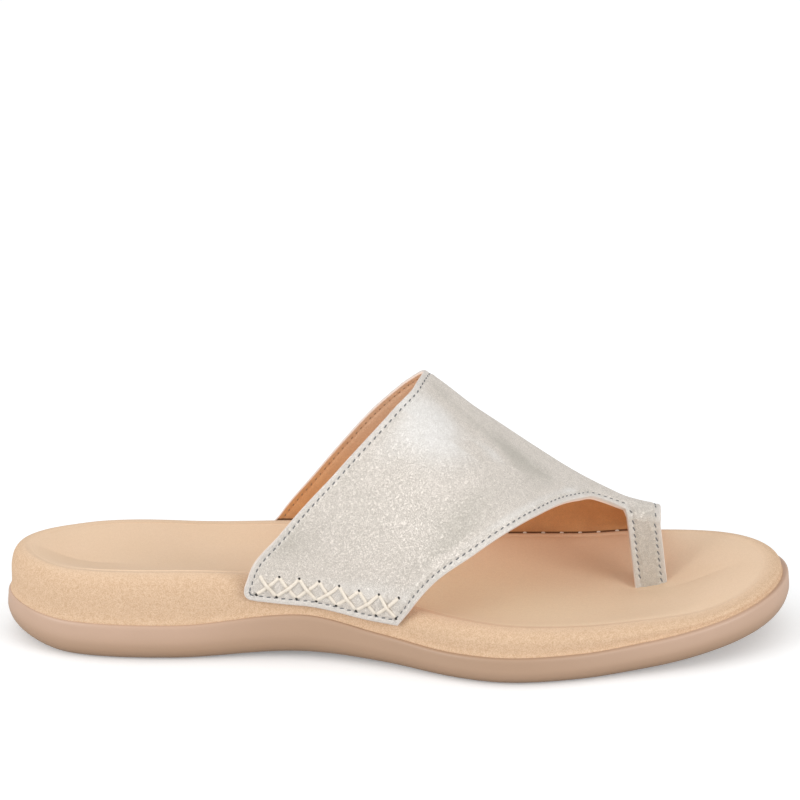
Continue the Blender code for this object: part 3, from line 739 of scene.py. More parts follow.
def last_point(x, around):
    """Point on the inside of the upper at station x.

    `around` runs from -1 at the outer lower edge over 0 at the crown to 1 at the inner lower edge.
    Each half is a straight stretch along the sole's side and then a quarter of an ellipse, or of a
    flatter curve of that kind, up to the crown. Both take their share of `around` by length.
    """
    x, around = np.broadcast_arrays(np.asarray(x, dtype=float), np.asarray(around, dtype=float))
    outer_half = around < 0
    side = np.where(outer_half, -1.0, 1.0)
    flatness = np.where(outer_half, 1.0, last_value(x, "inner flatness"))
    width, rise, straight, arc_share = half_section(x, outer_half)
    distance = np.abs(around)
    angle = 0.5 * math.pi * (1 - np.clip(distance / arc_share, 0.0, 1.0))
    below = np.maximum((distance - arc_share) / (1 - arc_share), 0.0)
    y = BALL_WIDTH * last_value(x, "centre") + side * width * np.cos(angle) ** flatness
    foot_z = INSTEP_HEIGHT * last_value(x, "crown") - rise
    z = foot_z + rise * np.sin(angle) ** flatness - straight * below
    return np.stack([x, y, z], axis=-1)


def place_above_edge(x, side, height):
    """Place round the section at a height above the upper's lower edge, measured on the leather.

    The outer lower edge rises a little from the collar's corner to the front edge's corner, and
    hangs between them.
    """
    straight, arc_share = half_section(x, np.full(np.shape(x), side < 0))[2:]
    whole = straight / (1 - arc_share)
    along, places = np.array(FRONT_EDGE[0]), np.array(COLLAR_EDGE[0])
    share = (x / SHOE_LENGTH - places[0]) / (along[0] - places[0])
    rise = share * (1 + along[1]) - edge_sag(x, -1.0, share) if side < 0 else 0.0
    return side * (1 - rise - height / whole)


def collar_station(around):
    """Station of the collar edge at places round the section, with its lower outer corner rounded."""
    along = column(COLLAR_EDGE, EDGE_COLUMNS, "along")
    places = column(COLLAR_EDGE, EDGE_COLUMNS, "round")
    station = SHOE_LENGTH * smooth_curve(around, places, along)
    lower_edge = last_point(station, -1.0)[..., 2]
    above = last_point(station, around)[..., 2] - lower_edge
    into_corner = np.clip(1 - above / UPPER_CORNER, 0.0, 1.0) * (around < 0)
    return station + UPPER_CORNER * (1 - np.sqrt(1 - into_corner ** 2))


def fold_foot_line(stations):
    """Stations and places along the foot of the fold, where the strap's flat hangs."""
    return np.stack([stations, -half_section(stations, True)[3]], axis=1)


def graded_lengths(length, at_start, at_end, middle_steps):
    """Lengths along a line: fine rows near the ends that are edges, even steps between them."""
    start = EDGE_ROWS if at_start else EDGE_ROWS[:1]
    end = EDGE_ROWS if at_end else EDGE_ROWS[:1]
    middle = np.linspace(0.0, 1.0, middle_steps + 1)[1:-1]
    length = np.asarray(length, dtype=float)[..., None]
    between = start[-1] + (length - start[-1] - end[-1]) * middle
    parts = [np.broadcast_to(start, between.shape[:-1] + start.shape), between, length - end[::-1]]
    return np.concatenate(parts, axis=-1)


def graded_on_last(line, steps, at_start=False, at_end=False):
    """A line of stations and places resampled on the last, with its shares of the whole length."""
    travelled = travelled_lengths(last_point(line[:, 0], line[:, 1]))
    wanted = graded_lengths(travelled[-1], at_start, at_end, steps)
    return resample(line, travelled, wanted), wanted / travelled[-1]


def straight_line(start, end):
    """Stations and places on a straight line between two of them."""
    return np.linspace(start, end, LINE_SAMPLES)


def upper_boundaries():
    """Stations and places of the front and of the collar, and the columns where the strap hangs.

    The front runs up the front edge to the strap's corner, along the fold above the strap, over
    the fold and down the front of the loop. The collar has one place for each front place.
    """
    along = SHOE_LENGTH * column(FRONT_EDGE, EDGE_COLUMNS, "along")
    places = column(FRONT_EDGE, EDGE_COLUMNS, "round")
    stations = np.linspace(along[0], along[-1], LINE_SAMPLES)
    edge = np.stack([stations, smooth_curve(stations, along, places)], axis=1)
    strap_front = np.array([STRAP_BACK + STRAP_WIDTH])
    fold_foot = fold_foot_line(strap_front)[0]
    fold_side = (fold_foot[0], fold_foot[1] * FOLD_SHARE)
    fold_top = (fold_foot[0], 0.0)
    edge, edge_share = graded_on_last(edge, FRONT_EDGE_STEPS, at_start=True)
    strap, strap_share = graded_on_last(straight_line(edge[-1], fold_side), STRAP_STEPS, True, True)
    fold, fold_share = graded_on_last(straight_line(fold_side, fold_top), FOLD_STEPS)
    loop, loop_share = graded_on_last(straight_line(fold_top, (LOOP_FRONT, 1.0)), LOOP_STEPS, at_end=True)
    front = np.concatenate([edge, strap[1:], fold[1:], loop[1:]])
    around = np.concatenate([
        -1.0 + (1.0 + CORNER_FAN_PLACE) * edge_share,
        CORNER_FAN_PLACE * (1 - CORNER_FAN_SHARE * strap_share[1:]),
        CORNER_FAN_PLACE * (1 - CORNER_FAN_SHARE) * (1 - fold_share[1:]),
        loop_share[1:],
    ])
    collar = np.stack([collar_station(around), around], axis=1)
    start = len(edge) - 1
    return front, collar, np.arange(start, start + len(strap))


def edge_sag(x, around, share):
    """How far round the section the outer lower edge hangs, with most of it half way along.

    The hang fades out over the height of the tuck. `share` is the way from collar to front.
    """
    straight, arc_share = half_section(x, True)[2:]
    whole = straight / (1 - arc_share)
    fade = np.clip(1 - (1 + around) * whole / UPPER_TUCK, 0.0, 1.0)
    return 4 * share * (1 - share) * fade * LOWER_EDGE_SAG / whole


def upper_lines():
    """Stations and places over the upper: rows run round the foot, columns from collar to front.

    Each column is a straight line of stations and places. Its rows are fine at both edges.
    """
    front, collar, strap_columns = upper_boundaries()
    share = np.linspace(0.0, 1.0, LINE_SAMPLES)[:, None, None]
    share = share * (1 + FRONT_CROWDING * (1 - share))
    dense = collar[None] * (1 - share) + front[None] * share
    dense[..., 1] -= edge_sag(dense[..., 0], dense[..., 1], share[..., 0])
    points = last_point(dense[..., 0], dense[..., 1])
    steps = np.linalg.norm(np.diff(points, axis=0), axis=-1)
    travelled = np.concatenate([np.zeros((1, steps.shape[1])), np.cumsum(steps, axis=0)])
    wanted = graded_lengths(travelled[-1], True, True, UPPER_STEPS_ALONG).T
    lines = np.empty(wanted.shape + (2,))
    for k in range(wanted.shape[1]):
        lines[:, k] = resample(dense[:, k], travelled[:, k], wanted[:, k])
    return lines, strap_columns


def strap_foot():
    """Middle of the strap's foot on the footbed."""
    middle_x = np.array([STRAP_BACK + 0.5 * STRAP_WIDTH])
    y = last_point(*fold_foot_line(middle_x).T)[0, 1]
    x = middle_x[0] + STRAP_LEAN
    edge_y = OUTLINE_SHAPE.inner_y(x) - RIM_WIDTH - midsole_inset(x)
    share = np.clip((edge_y - y) / (edge_y - np.interp(x, *OUTLINE_SHAPE.spine.T)), 0.0, 1.0)
    top = footbed_height(np.array([x]), np.array([y]), np.array([share]))[0]
    return np.array([x, y, top])


def strap_rows(top):
    """Rows of points down the strap: over the rest of the fold and down its flat into the slot.

    The flat's rows run straight from the fold's foot to the strap's foot.
    """
    share = (top[:, 0] - top[0, 0]) / (top[-1, 0] - top[0, 0])
    fold_foot = fold_foot_line(STRAP_BACK + share * STRAP_WIDTH)
    rows = []
    for row in range(1, FOLD_ROWS + 1):
        line = top + (fold_foot - top) * row / FOLD_ROWS
        rows.append(last_point(line[:, 0], line[:, 1]))
    across = share - 0.5
    depth = np.full(len(top), -STRAP_DEPTH)
    foot = strap_foot() + np.stack([across * STRAP_FOOT_WIDTH, across * STRAP_TURN, depth], axis=1)
    flat_top = rows[-1]
    for row in range(1, STRAP_ROWS + 1):
        down = row / STRAP_ROWS
        rows.append(flat_top + (foot - flat_top) * down)
    return rows


def grid_quads(rows, columns, closed=False):
    """Quads between neighbouring rows of a grid, as indices of its points."""
    here = np.arange(columns if closed else columns - 1)
    nxt = (here + 1) % columns
    row = np.arange(rows - 1)[:, None] * columns
    quads = np.stack([row + here, row + columns + here, row + columns + nxt, row + nxt], axis=-1)
    return quads.reshape(-1, 4)


def vertex_normals(points, quads):
    """Unit normals at the points: the sum of the cross products of their quads' diagonals."""
    corners = points[quads]
    face = np.cross(corners[:, 2] - corners[:, 0], corners[:, 3] - corners[:, 1])
    total = np.zeros_like(points)
    for corner in range(4):
        np.add.at(total, quads[:, corner], face)
    return unit(total)


def soft_spots(table, x, around, points):
    """Sum of long soft spots: each is a Gaussian along and across its own turned line."""
    total = np.zeros(len(points))
    for along, place, turn, long, wide, amount in table:
        centre = last_point(SHOE_LENGTH * along, place)
        ahead = points[:, 0] - centre[0]
        over = np.sign(around - place) * np.hypot(points[:, 1] - centre[1], points[:, 2] - centre[2])
        angle = math.radians(turn)
        on_line = ahead * math.cos(angle) + over * math.sin(angle)
        off_line = over * math.cos(angle) - ahead * math.sin(angle)
        total += amount * np.exp(-(on_line / (0.5 * long * MM)) ** 2 - (off_line / (wide * MM)) ** 2)
    return total


def front_edge_highlight_tone(x, distance):
    """Painted highlight by the front edge: a bell of the distance, faded by a table."""
    strength = table_value(HIGHLIGHT_STRIP_TABLE, STRENGTH_COLUMNS, x, "strength")
    return HIGHLIGHT_STRIP_TONE * strength * bell((distance - HIGHLIGHT_STRIP_INSET) / HIGHLIGHT_STRIP_WIDTH)


class Upper:
    """The upper's inside surface, its normals, its border and every point's way to the border."""

    def __init__(self):
        lines, strap_columns = upper_lines()
        rows, columns = lines.shape[:2]
        points = last_point(lines[..., 0], lines[..., 1]).reshape(-1, 3)
        flat_lines = lines.reshape(-1, 2)
        hanging = strap_rows(lines[-1, strap_columns])
        quads = [grid_quads(rows, columns)]
        above = (rows - 1) * columns + strap_columns
        count = len(points)
        strap_index = []
        for row in hanging:
            below = count + np.arange(len(row))
            strap_index.append(below)
            quads.append(np.stack([above[:-1], below[:-1], below[1:], above[1:]], axis=1))
            above = below
            count += len(row)
        strap_index = np.array(strap_index)
        self.quads = np.concatenate(quads)
        creases = MM * soft_spots(CREASES, flat_lines[:, 0], flat_lines[:, 1], points)
        tones = soft_spots(TONES, flat_lines[:, 0], flat_lines[:, 1], points)
        self.points = np.concatenate([points] + hanging)
        self.normals = vertex_normals(self.points, self.quads)
        self.points[: len(points)] += self.normals[: len(points)] * creases[:, None]
        self.normals = vertex_normals(self.points, self.quads)
        last_row = (rows - 1) * columns
        hanging_count = len(self.points) - len(points)
        self.stations = np.concatenate([flat_lines[:, 0], np.full(hanging_count, LOOP_FRONT)])
        strap_share = np.repeat(np.linspace(STRAP_TOP_SHARE, 1.0, len(hanging)), len(strap_columns))
        self.tones = np.concatenate([tones, STRAP_TONE * strap_share])
        straight, arc_share = half_section(flat_lines[:, 0], flat_lines[:, 1] < 0)[2:]
        above_rim = (1 - np.abs(flat_lines[:, 1])) * straight / (1 - arc_share) - straight
        self.above_rim = np.concatenate([above_rim, np.full(hanging_count, UPPER_TUCK)])
        self.border = np.concatenate([
            np.arange(columns),
            columns * np.arange(2, rows + 1) - 1,
            last_row + np.arange(columns - 2, strap_columns[-1] - 1, -1),
            strap_index[:, -1],
            strap_index[-1, -2::-1],
            strap_index[-2::-1, 0],
            last_row + np.arange(strap_columns[0], -1, -1),
            columns * np.arange(rows - 2, 0, -1),
        ])
        self.hanging_from = len(points)
        self.measure_border(strap_index[-1, [0, -1]])
        lower_edge = len(self.border) - (rows - 2)
        front_edge = lower_edge - strap_columns[0] - 1
        travelled = self.border_line[1]
        on_front = (self.edge_along > travelled[front_edge]) & (self.edge_along < travelled[lower_edge])
        # Painted highlight: the strip inside the front edge's seam is made lighter.
        self.tones += on_front * front_edge_highlight_tone(self.stations, self.edge_distance)

    def measure_border(self, foot_corners):
        """Distance of every point to the border, and the border's travelled length there.

        The strap's foot is hidden in its slot and doesn't count as an edge.
        """
        loop = np.append(self.border, self.border[0])
        line = self.points[loop]
        travelled = travelled_lengths(line)
        self.border_line = (line, travelled, self.normals[loop])
        wanted = np.arange(0.0, travelled[-1], BORDER_STEP)
        foot_start, foot_end = travelled[np.flatnonzero(np.isin(self.border, foot_corners))]
        wanted = wanted[(wanted <= foot_start) | (wanted >= foot_end)]
        dense = resample(line, travelled, wanted)
        nearest = nearest_points(self.points, dense)
        self.edge_distance = np.linalg.norm(self.points - dense[nearest], axis=1)
        self.edge_along = wanted[nearest]
        self.border_dense = dense

    def shell(self, outside, inside):
        """Points and faces of a closed sheet between two offsets from the inside surface."""
        outer, inner = (self.points + self.normals * np.reshape(way, (-1, 1)) for way in (outside, inside))
        count = len(outer)
        ring = np.append(self.border, self.border[0])
        strip = np.stack([ring[:-1], ring[1:], ring[1:] + count, ring[:-1] + count], axis=1)
        faces = np.concatenate([self.quads, self.quads[:, ::-1] + count, strip])
        return np.concatenate([outer, inner]), faces


def nearest_points(points, others, chunk=2000):
    """Index of the nearest of the others for every point, a few thousand points at a time."""
    nearest = np.empty(len(points), dtype=int)
    squares = np.sum(others ** 2, axis=1)
    for start in range(0, len(points), chunk):
        part = points[start : start + chunk]
        nearest[start : start + chunk] = np.argmin(squares - 2 * part @ others.T, axis=1)
    return nearest


UPPER = Upper()


def make_mesh(name, points, faces, material, attributes=None, merge=False):
    """Smooth mesh object from points in the last's frame, moved to the part's own frame."""
    placed = points - np.array([0.5 * SHOE_LENGTH, OUTLINE_SHAPE.middle, 0.0])
    mesh = bpy.data.meshes.new(name)
    mesh.from_pydata(placed.tolist(), [], np.asarray(faces).tolist())
    for key, values in (attributes or {}).items():
        layer = mesh.attributes.new(key, "FLOAT", "POINT")
        layer.data.foreach_set("value", np.asarray(values, dtype=np.float32))
    mesh.materials.append(material)
    tidy = bmesh.new()
    tidy.from_mesh(mesh)
    if merge:
        bmesh.ops.remove_doubles(tidy, verts=tidy.verts, dist=MERGE_DISTANCE)
    bmesh.ops.recalc_face_normals(tidy, faces=tidy.faces)
    tidy.to_mesh(mesh)
    tidy.free()
    mesh.shade_smooth()
    mesh.set_sharp_from_angle(angle=SHARP_ANGLE)
    made = bpy.data.objects.new(name, mesh)
    bpy.context.scene.collection.objects.link(made)
    return made


def place_piece(piece, slot=None, *nodes):
    """The piece rides on the one body and hides the CAD nodes that it stands for; its slot is not used."""
    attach(piece, "root")
    if nodes:
        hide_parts(*nodes)


class Nodes:
    """Shader nodes of a material or group. Values are numbers, other outputs or names of colours."""

    def __init__(self, tree):
        self.tree = tree

    def connect(self, value, socket):
        """Link an output to a socket, or set the socket to a constant."""
        if isinstance(value, bpy.types.NodeSocket):
            self.tree.links.new(value, socket)
        elif isinstance(value, str):
            socket.default_value = (*COLOURS[value], 1)
        else:
            socket.default_value = value

    def add(self, kind, inputs=None, **settings):
        """A new node with its settings and inputs."""
        node = self.tree.nodes.new(kind)
        for key, value in settings.items():
            setattr(node, key, value)
        for key, value in (inputs or {}).items():
            self.connect(value, node.inputs[key])
        return node

    def math(self, operation, first, second=0.0):
        """Result of an operation on two values."""
        return self.add("ShaderNodeMath", {0: first, 1: second}, operation=operation).outputs[0]

    def times(self, first, *factors):
        """Product of the values."""
        for factor in factors:
            first = self.math("MULTIPLY", first, factor)
        return first

    def plus(self, first, second):
        """Sum of two values."""
        return self.math("ADD", first, second)

    def minus(self, first, second):
        """The first value less the second."""
        return self.math("SUBTRACT", first, second)

    def ramp(self, value, low, high, to_low=0.0, to_high=1.0):
        """A value mapped smoothly from one range to another and kept inside it."""
        inputs = {"Value": value, "From Min": low, "From Max": high, "To Min": to_low, "To Max": to_high}
        return self.add("ShaderNodeMapRange", inputs, interpolation_type="SMOOTHSTEP").outputs["Result"]

    def mix(self, share, first, second):
        """Mix of two colours."""
        inputs = {0: share, 6: first, 7: second}
        return self.add("ShaderNodeMix", inputs, data_type="RGBA", clamp_factor=True).outputs[2]

    def layers(self, base, *layers):
        """Colours laid over a base one after the other, each through its own mask."""
        for mask, colour in layers:
            base = self.mix(mask, base, colour)
        return base

    def place(self):
        """The piece's own coordinates in millimetres of the shoe."""
        place = self.add("ShaderNodeTexCoord").outputs["Object"]
        return self.add("ShaderNodeMapping", {"Vector": place, "Scale": (1 / MM,) * 3}).outputs["Vector"]

    def noise(self, place, per_mm, detail, roughness, distortion=0.0):
        """Value of a noise whose cells are about one over `per_mm` millimetres wide."""
        inputs = {"Vector": place, "Scale": per_mm, "Detail": detail, "Roughness": roughness}
        return self.add("ShaderNodeTexNoise", {**inputs, "Distortion": distortion}).outputs[0]

    def attribute(self, name):
        """A mesh attribute as a value."""
        return self.add("ShaderNodeAttribute", attribute_name=name).outputs["Fac"]

    def group(self, group, **values):
        """Outputs of a group placed here with its own values."""
        inputs = {key.replace("_", " "): value for key, value in values.items()}
        return self.add("ShaderNodeGroup", inputs, node_tree=group).outputs

    def patches(self, scale, sharpness):
        """Mask of soft patches."""
        return self.group(PATCHES, Patch_scale=scale, Sharpness=sharpness)["Patch"]


class Look(Nodes):
    """Nodes of a new material with its Principled shader."""

    def __init__(self, name, **constants):
        self.material = bpy.data.materials.new(name)
        self.material.use_nodes = True
        super().__init__(self.material.node_tree)
        self.shader = self.tree.nodes["Principled BSDF"]
        self.set(**constants)

    def set(self, **values):
        """Values of the shader's own sockets."""
        for key, value in values.items():
            self.connect(value, self.shader.inputs[key.replace("_", " ")])

    def bump(self, height, distance, strength):
        """Bump on the shader from a height; the distance is in millimetres of the shoe."""
        inputs = {"Height": height, "Distance": distance * MM, "Strength": strength}
        self.set(Normal=self.add("ShaderNodeBump", inputs).outputs["Normal"])


def new_group(name, inputs, outputs):
    """Nodes of an empty group with float inputs and outputs, and the sockets of its two ends."""
    tree = bpy.data.node_groups.new(name, "ShaderNodeTree")
    for label, value in inputs.items():
        tree.interface.new_socket(label, in_out="INPUT", socket_type="NodeSocketFloat").default_value = value
    for label in outputs:
        tree.interface.new_socket(label, in_out="OUTPUT", socket_type="NodeSocketFloat")
    return Nodes(tree), tree.nodes.new("NodeGroupInput").outputs, tree.nodes.new("NodeGroupOutput").inputs


def grain_group():
    """Fine leather grain: warped noise for the wrinkles, small cells for the pores."""
    scales = {"Wrinkle scale": 1.2, "Pore scale": 2.6}
    nodes, given, result = new_group("leather_grain", scales, ("Height", "Dark"))
    place = nodes.place()
    wrinkles = nodes.noise(place, given["Wrinkle scale"], detail=3.0, roughness=0.55, distortion=1.2)
    cells = nodes.add("ShaderNodeTexVoronoi", {"Vector": place, "Scale": given["Pore scale"]})
    pores = nodes.ramp(cells.outputs["Distance"], 0.05, 0.55)
    folded = nodes.ramp(nodes.math("ABSOLUTE", nodes.minus(wrinkles, 0.5)), 0.0, 0.09)
    height = nodes.plus(nodes.times(folded, 0.7), nodes.times(pores, 0.3))
    nodes.connect(height, result["Height"])
    nodes.connect(nodes.minus(1.0, height), result["Dark"])
    return nodes.tree


def nap_group():
    """Suede nap of two sizes of speckle: their sum is the height and, with more contrast, the tint."""
    nodes, given, result = new_group("suede_nap", {"Speckle scale": 2.4}, ("Height", "Tint"))
    place = nodes.place()
    scale = given["Speckle scale"]
    fine = nodes.noise(place, scale, detail=3.0, roughness=0.7)
    coarse = nodes.noise(place, nodes.times(scale, 0.33), detail=3.0, roughness=0.6)
    total = nodes.plus(nodes.times(fine, 0.75), nodes.times(coarse, 0.25))
    nodes.connect(total, result["Height"])
    nodes.connect(nodes.ramp(total, 0.36, 0.64), result["Tint"])
    return nodes.tree


def patches_group():
    """Large soft patches: a low noise warped by itself."""
    scales = {"Patch scale": 0.06, "Sharpness": 0.12}
    nodes, given, result = new_group("soft_patches", scales, ("Patch",))
    value = nodes.noise(nodes.place(), given["Patch scale"], detail=4.0, roughness=0.55, distortion=0.6)
    low = nodes.minus(0.5, given["Sharpness"])
    nodes.connect(nodes.ramp(value, low, nodes.plus(0.5, given["Sharpness"])), result["Patch"])
    return nodes.tree


GRAIN = grain_group()
NAP = nap_group()
PATCHES = patches_group()


def leather_material():
    """Pale metallic leather: foil over grain, placed tones with painted highlights and painted shade, faint
    mottling, puckered seam.
    """
    look = Look("metallic_leather_look", IOR=1.45)
    grain = look.group(GRAIN, Wrinkle_scale=1.9, Pore_scale=2.8)
    large = look.patches(0.075, 0.16)
    small = look.patches(0.42, 0.14)
    distance = look.attribute("edge_distance")
    tone = look.attribute("tone")
    painted_highlight = look.ramp(tone, 0.0, 1.0)
    inside = look.ramp(distance, 0.9, 2.8, 0.8, 1.0)
    on_edge = look.ramp(distance, 0.34, 0.12)
    wrinkled = look.times(grain["Dark"], look.times(inside, 0.76), look.ramp(painted_highlight, 0.0, 1.0, 1.0, 0.45))
    base = look.layers(
        "foil",
        (look.times(large, 0.30), "foil in patches"),
        # Negative tones darken towards olive: partly the foil's own mottling, partly painted shade. Positive
        # tones and the front edge's strip are painted highlights.
        (look.times(look.ramp(tone, 0.0, -1.0), 0.9), "olive foil and painted shade"),
        (look.times(painted_highlight, 0.9), "painted highlight on the foil"),
        (look.times(small, 0.10), "mottled foil"),
        (wrinkled, "foil in wrinkles"),
        (look.ramp(distance, 2.6, 1.6, 0.0, 0.35), "foil by the seam"),
        (on_edge, "cut edge of the leather"),
    )
    metallic = look.times(look.minus(1.0, on_edge), 0.30)
    rough = look.plus(look.plus(0.45, look.times(small, 0.08)), look.times(on_edge, 0.25))
    look.set(Base_Color=base, Metallic=metallic, Roughness=rough)
    wave = look.math("COSINE", look.times(look.attribute("edge_along"), 2 * math.pi))
    off_seam = look.math("DIVIDE", look.minus(distance, STITCH_INSET / MM), 0.75)
    band = look.math("POWER", BELL_BASE, look.times(look.math("POWER", off_seam, 2.0), -1.0))
    pucker = look.times(wave, band, 0.9)
    look.bump(look.plus(look.times(grain["Height"], inside), pucker), 0.12, 1.0)
    return look.material


def lining_material():
    """Orange tan lining with a fine grain: painted paler near the crown, and dark where it meets the
    footbed, partly a stained line and partly painted contact shadow.
    """
    look = Look("tan_lining_look", IOR=1.45)
    grain = look.group(GRAIN, Wrinkle_scale=1.6, Pore_scale=3.0)
    large = look.patches(0.10, 0.2)
    height = look.add("ShaderNodeSeparateXYZ", {"Vector": look.place()}).outputs["Z"]
    base = look.layers(
        "lining",
        (large, "lining in patches"),
        # Painted light: paler towards the crown.
        (look.ramp(height, 32.0, 74.0), "lining painted paler near the crown"),
        (look.times(grain["Dark"], 0.5), "lining in wrinkles"),
        # Dark line where the lining meets the footbed: partly a stained line, partly painted contact shadow.
        (look.ramp(look.attribute("above_rim"), -0.90, -1.15, 0.0, 0.85), "lining stain and painted shadow at the footbed"),
        (look.ramp(look.attribute("edge_distance"), 0.42, 0.12), "cut edge of the lining"),
    )
    look.set(Base_Color=base, Roughness=look.plus(0.52, look.times(large, 0.1)))
    look.bump(grain["Height"], 0.05, 0.7)
    return look.material


def suede_material(name):
    """Beige suede: nap speckle, strong on the side and faint on the top; painted paler where the tone is
    high, which lifts the upper's shade on the insole.
    """
    look = Look(name, IOR=1.4, Specular_IOR_Level=0.3)
    nap = look.group(NAP, Speckle_scale=2.6)
    large = look.patches(0.05, 0.2)
    strength = look.attribute("nap_strength")
    base = look.layers(
        "suede",
        (look.times(large, 0.5), "suede in patches"),
        # Painted light: the insole is made paler under the upper's opening, against the shade there.
        (look.attribute("tone"), "insole painted paler"),
        (strength, "suede side"),
        (look.times(nap["Tint"], look.times(strength, 0.8)), "suede speckle"),
    )
    look.set(Base_Color=base, Roughness=look.ramp(strength, 0.0, 1.0, 0.62, 0.88))
    look.bump(look.times(nap["Height"], look.plus(strength, 0.15)), 0.30, 0.7)
    return look.material


def outsole_material():
    """Satin moulded sole: painted shade makes it tan and darker below and over the waist, pinkish taupe near
    the lip; faint mould haze.
    """
    look = Look("satin_outsole_look", IOR=1.48, Specular_IOR_Level=0.5)
    nap = look.group(NAP, Speckle_scale=1.2)
    large = look.patches(0.04, 0.25)
    height = look.attribute("side_height")
    base = look.layers(
        # Painted shade: darker towards the tread, lighter near the lip.
        "outsole painted darker below",
        (look.ramp(height, 0.10, 0.90), "outsole painted lighter near the lip"),
        (look.times(large, 0.25), "outsole in patches"),
        # Painted shade over the side from the waist to the ball.
        (look.times(look.attribute("tone"), look.ramp(height, 0.2, 0.7), 0.85), "outsole in painted shade at the waist"),
    )
    look.set(Base_Color=base, Roughness=look.plus(0.42, look.times(nap["Tint"], 0.06)))
    look.bump(nap["Height"], 0.02, 0.6)
    return look.material


def thread_material(colour):
    """Twisted thread: fine speckle between a colour and its shade."""
    look = Look(colour.replace(" ", "_") + "_look", IOR=1.45, Specular_IOR_Level=0.35)
    nap = look.group(NAP, Speckle_scale=4.0)
    base = look.mix(look.times(nap["Tint"], 0.6), colour, colour + " shade")
    look.set(Base_Color=base, Roughness=look.ramp(nap["Tint"], 0.0, 1.0, 0.55, 0.75))
    look.bump(nap["Height"], 0.08, 0.8)
    return look.material


class Rings:
    """Rings of the outline from the bottom of a sole's piece to its top, each with one value."""

    def __init__(self):
        self.points = []
        self.values = []

    def add(self, plan, heights, value):
        """One ring from its plan, its heights and its value."""
        self.points.append(np.column_stack([plan, heights]))
        self.values.append(value)

    def make(self, name, value_name, tone, material, slot, node):
        """The piece through the rings, closed on the middle line; `tone` gives the points' tones."""
        count = len(self.points[0])
        points = np.concatenate(self.points)
        attributes = {value_name: np.repeat(self.values, count), "tone": tone(points)}
        quads = grid_quads(len(self.points), count, closed=True)
        place_piece(make_mesh(name, points, quads, material, attributes, merge=True), slot, node)


def tread_relief(plan):
    """Grooves across the tread: rounded wave troughs that fade at the border and at the waist."""
    x, y = plan.T
    wave = 0.5 - 0.5 * np.cos(2 * math.pi * (x + TREAD_BEND * y ** 2) / TREAD_PITCH)
    groove = smooth_step((TREAD_GROOVE_SHARE - wave) / TREAD_GROOVE_SHARE)
    along = x / SHOE_LENGTH
    stretch = np.zeros(len(x))
    for start, end in TREAD_STRETCHES:
        stretch += np.clip((along - start) / TREAD_FADE, 0, 1) * np.clip((end - along) / TREAD_FADE, 0, 1)
    return groove * stretch


def outsole_painted_shade(points):
    """Painted shade of the outsole from its table."""
    return table_value(OUTSOLE_PAINTED_SHADE, STRENGTH_COLUMNS, points[:, 0], "strength")


def make_outsole(material):
    """Tread, convex side, lip and cup: rings of the outline, each with its inset and height."""
    outline = OUTLINE_SHAPE
    rings = Rings()
    start = outline.ring(OUTSOLE_FLAT_INSET)
    for share in np.linspace(1.0, 0.0, TREAD_ROWS):
        plan = outline.inward(start, share)
        fade = np.clip(share * TREAD_REACH / TREAD_BORDER - TREAD_BARE_SHARE, 0.0, 1.0)
        rings.add(plan, tread_height(plan[:, 0]) + TREAD_DEPTH * tread_relief(plan) * fade, 0.0)
    for height, bulge in fine_profile(OUTSOLE_PROFILE, OUTSOLE_ROWS)[1:]:
        plan = outline.ring(OUTSOLE_FLAT_INSET * bulge)
        x = plan[:, 0]
        rings.add(plan, tread_height(x) + height * OUTSOLE_SIDE * sole_value(x, "side"), height)
    cup_inset = midsole_inset(outline.edge[:, 0]) + LIP_UNDER
    floor_inset = cup_inset + CUP_ROUNDING
    lip_inset = OUTSOLE_FLAT_INSET * OUTSOLE_PROFILE[-1][1]
    lip_middle = 0.5 * (cup_inset + lip_inset)
    for inset, drop in ((lip_middle, 0.0), (cup_inset, CUP_ROUNDING), (floor_inset, CUP_DEPTH)):
        plan = outline.ring(np.maximum(inset, lip_inset + LEAST_LIP))
        rings.add(plan, lip_height(plan[:, 0]) - drop, 1.0)
    floor = outline.ring(np.maximum(floor_inset, lip_inset))
    for share in CUP_FLOOR_ROWS:
        plan = outline.inward(floor, share)
        rings.add(plan, lip_height(plan[:, 0]) - CUP_DEPTH, 1.0)
    rings.make("outsole_rubber_sole", "side_height", outsole_painted_shade, material, "outsole_rubber", "outsole")


def strap_dimple(plan):
    """Shallow dent round the strap's foot: a bell of the distance in plan."""
    foot = strap_foot()
    distance = np.hypot(plan[:, 0] - foot[0] + DIMPLE_BEHIND, plan[:, 1] - foot[1])
    return DIMPLE_DEPTH * bell(distance / DIMPLE_RADIUS)


def ridge_strength(x):
    """Strength of the seam's ridge at stations x."""
    return table_value(SEAM_RIDGE_TABLE, STRENGTH_COLUMNS, x, "strength")


def no_tone(points):
    """Tone 0 everywhere."""
    return np.zeros(len(points))


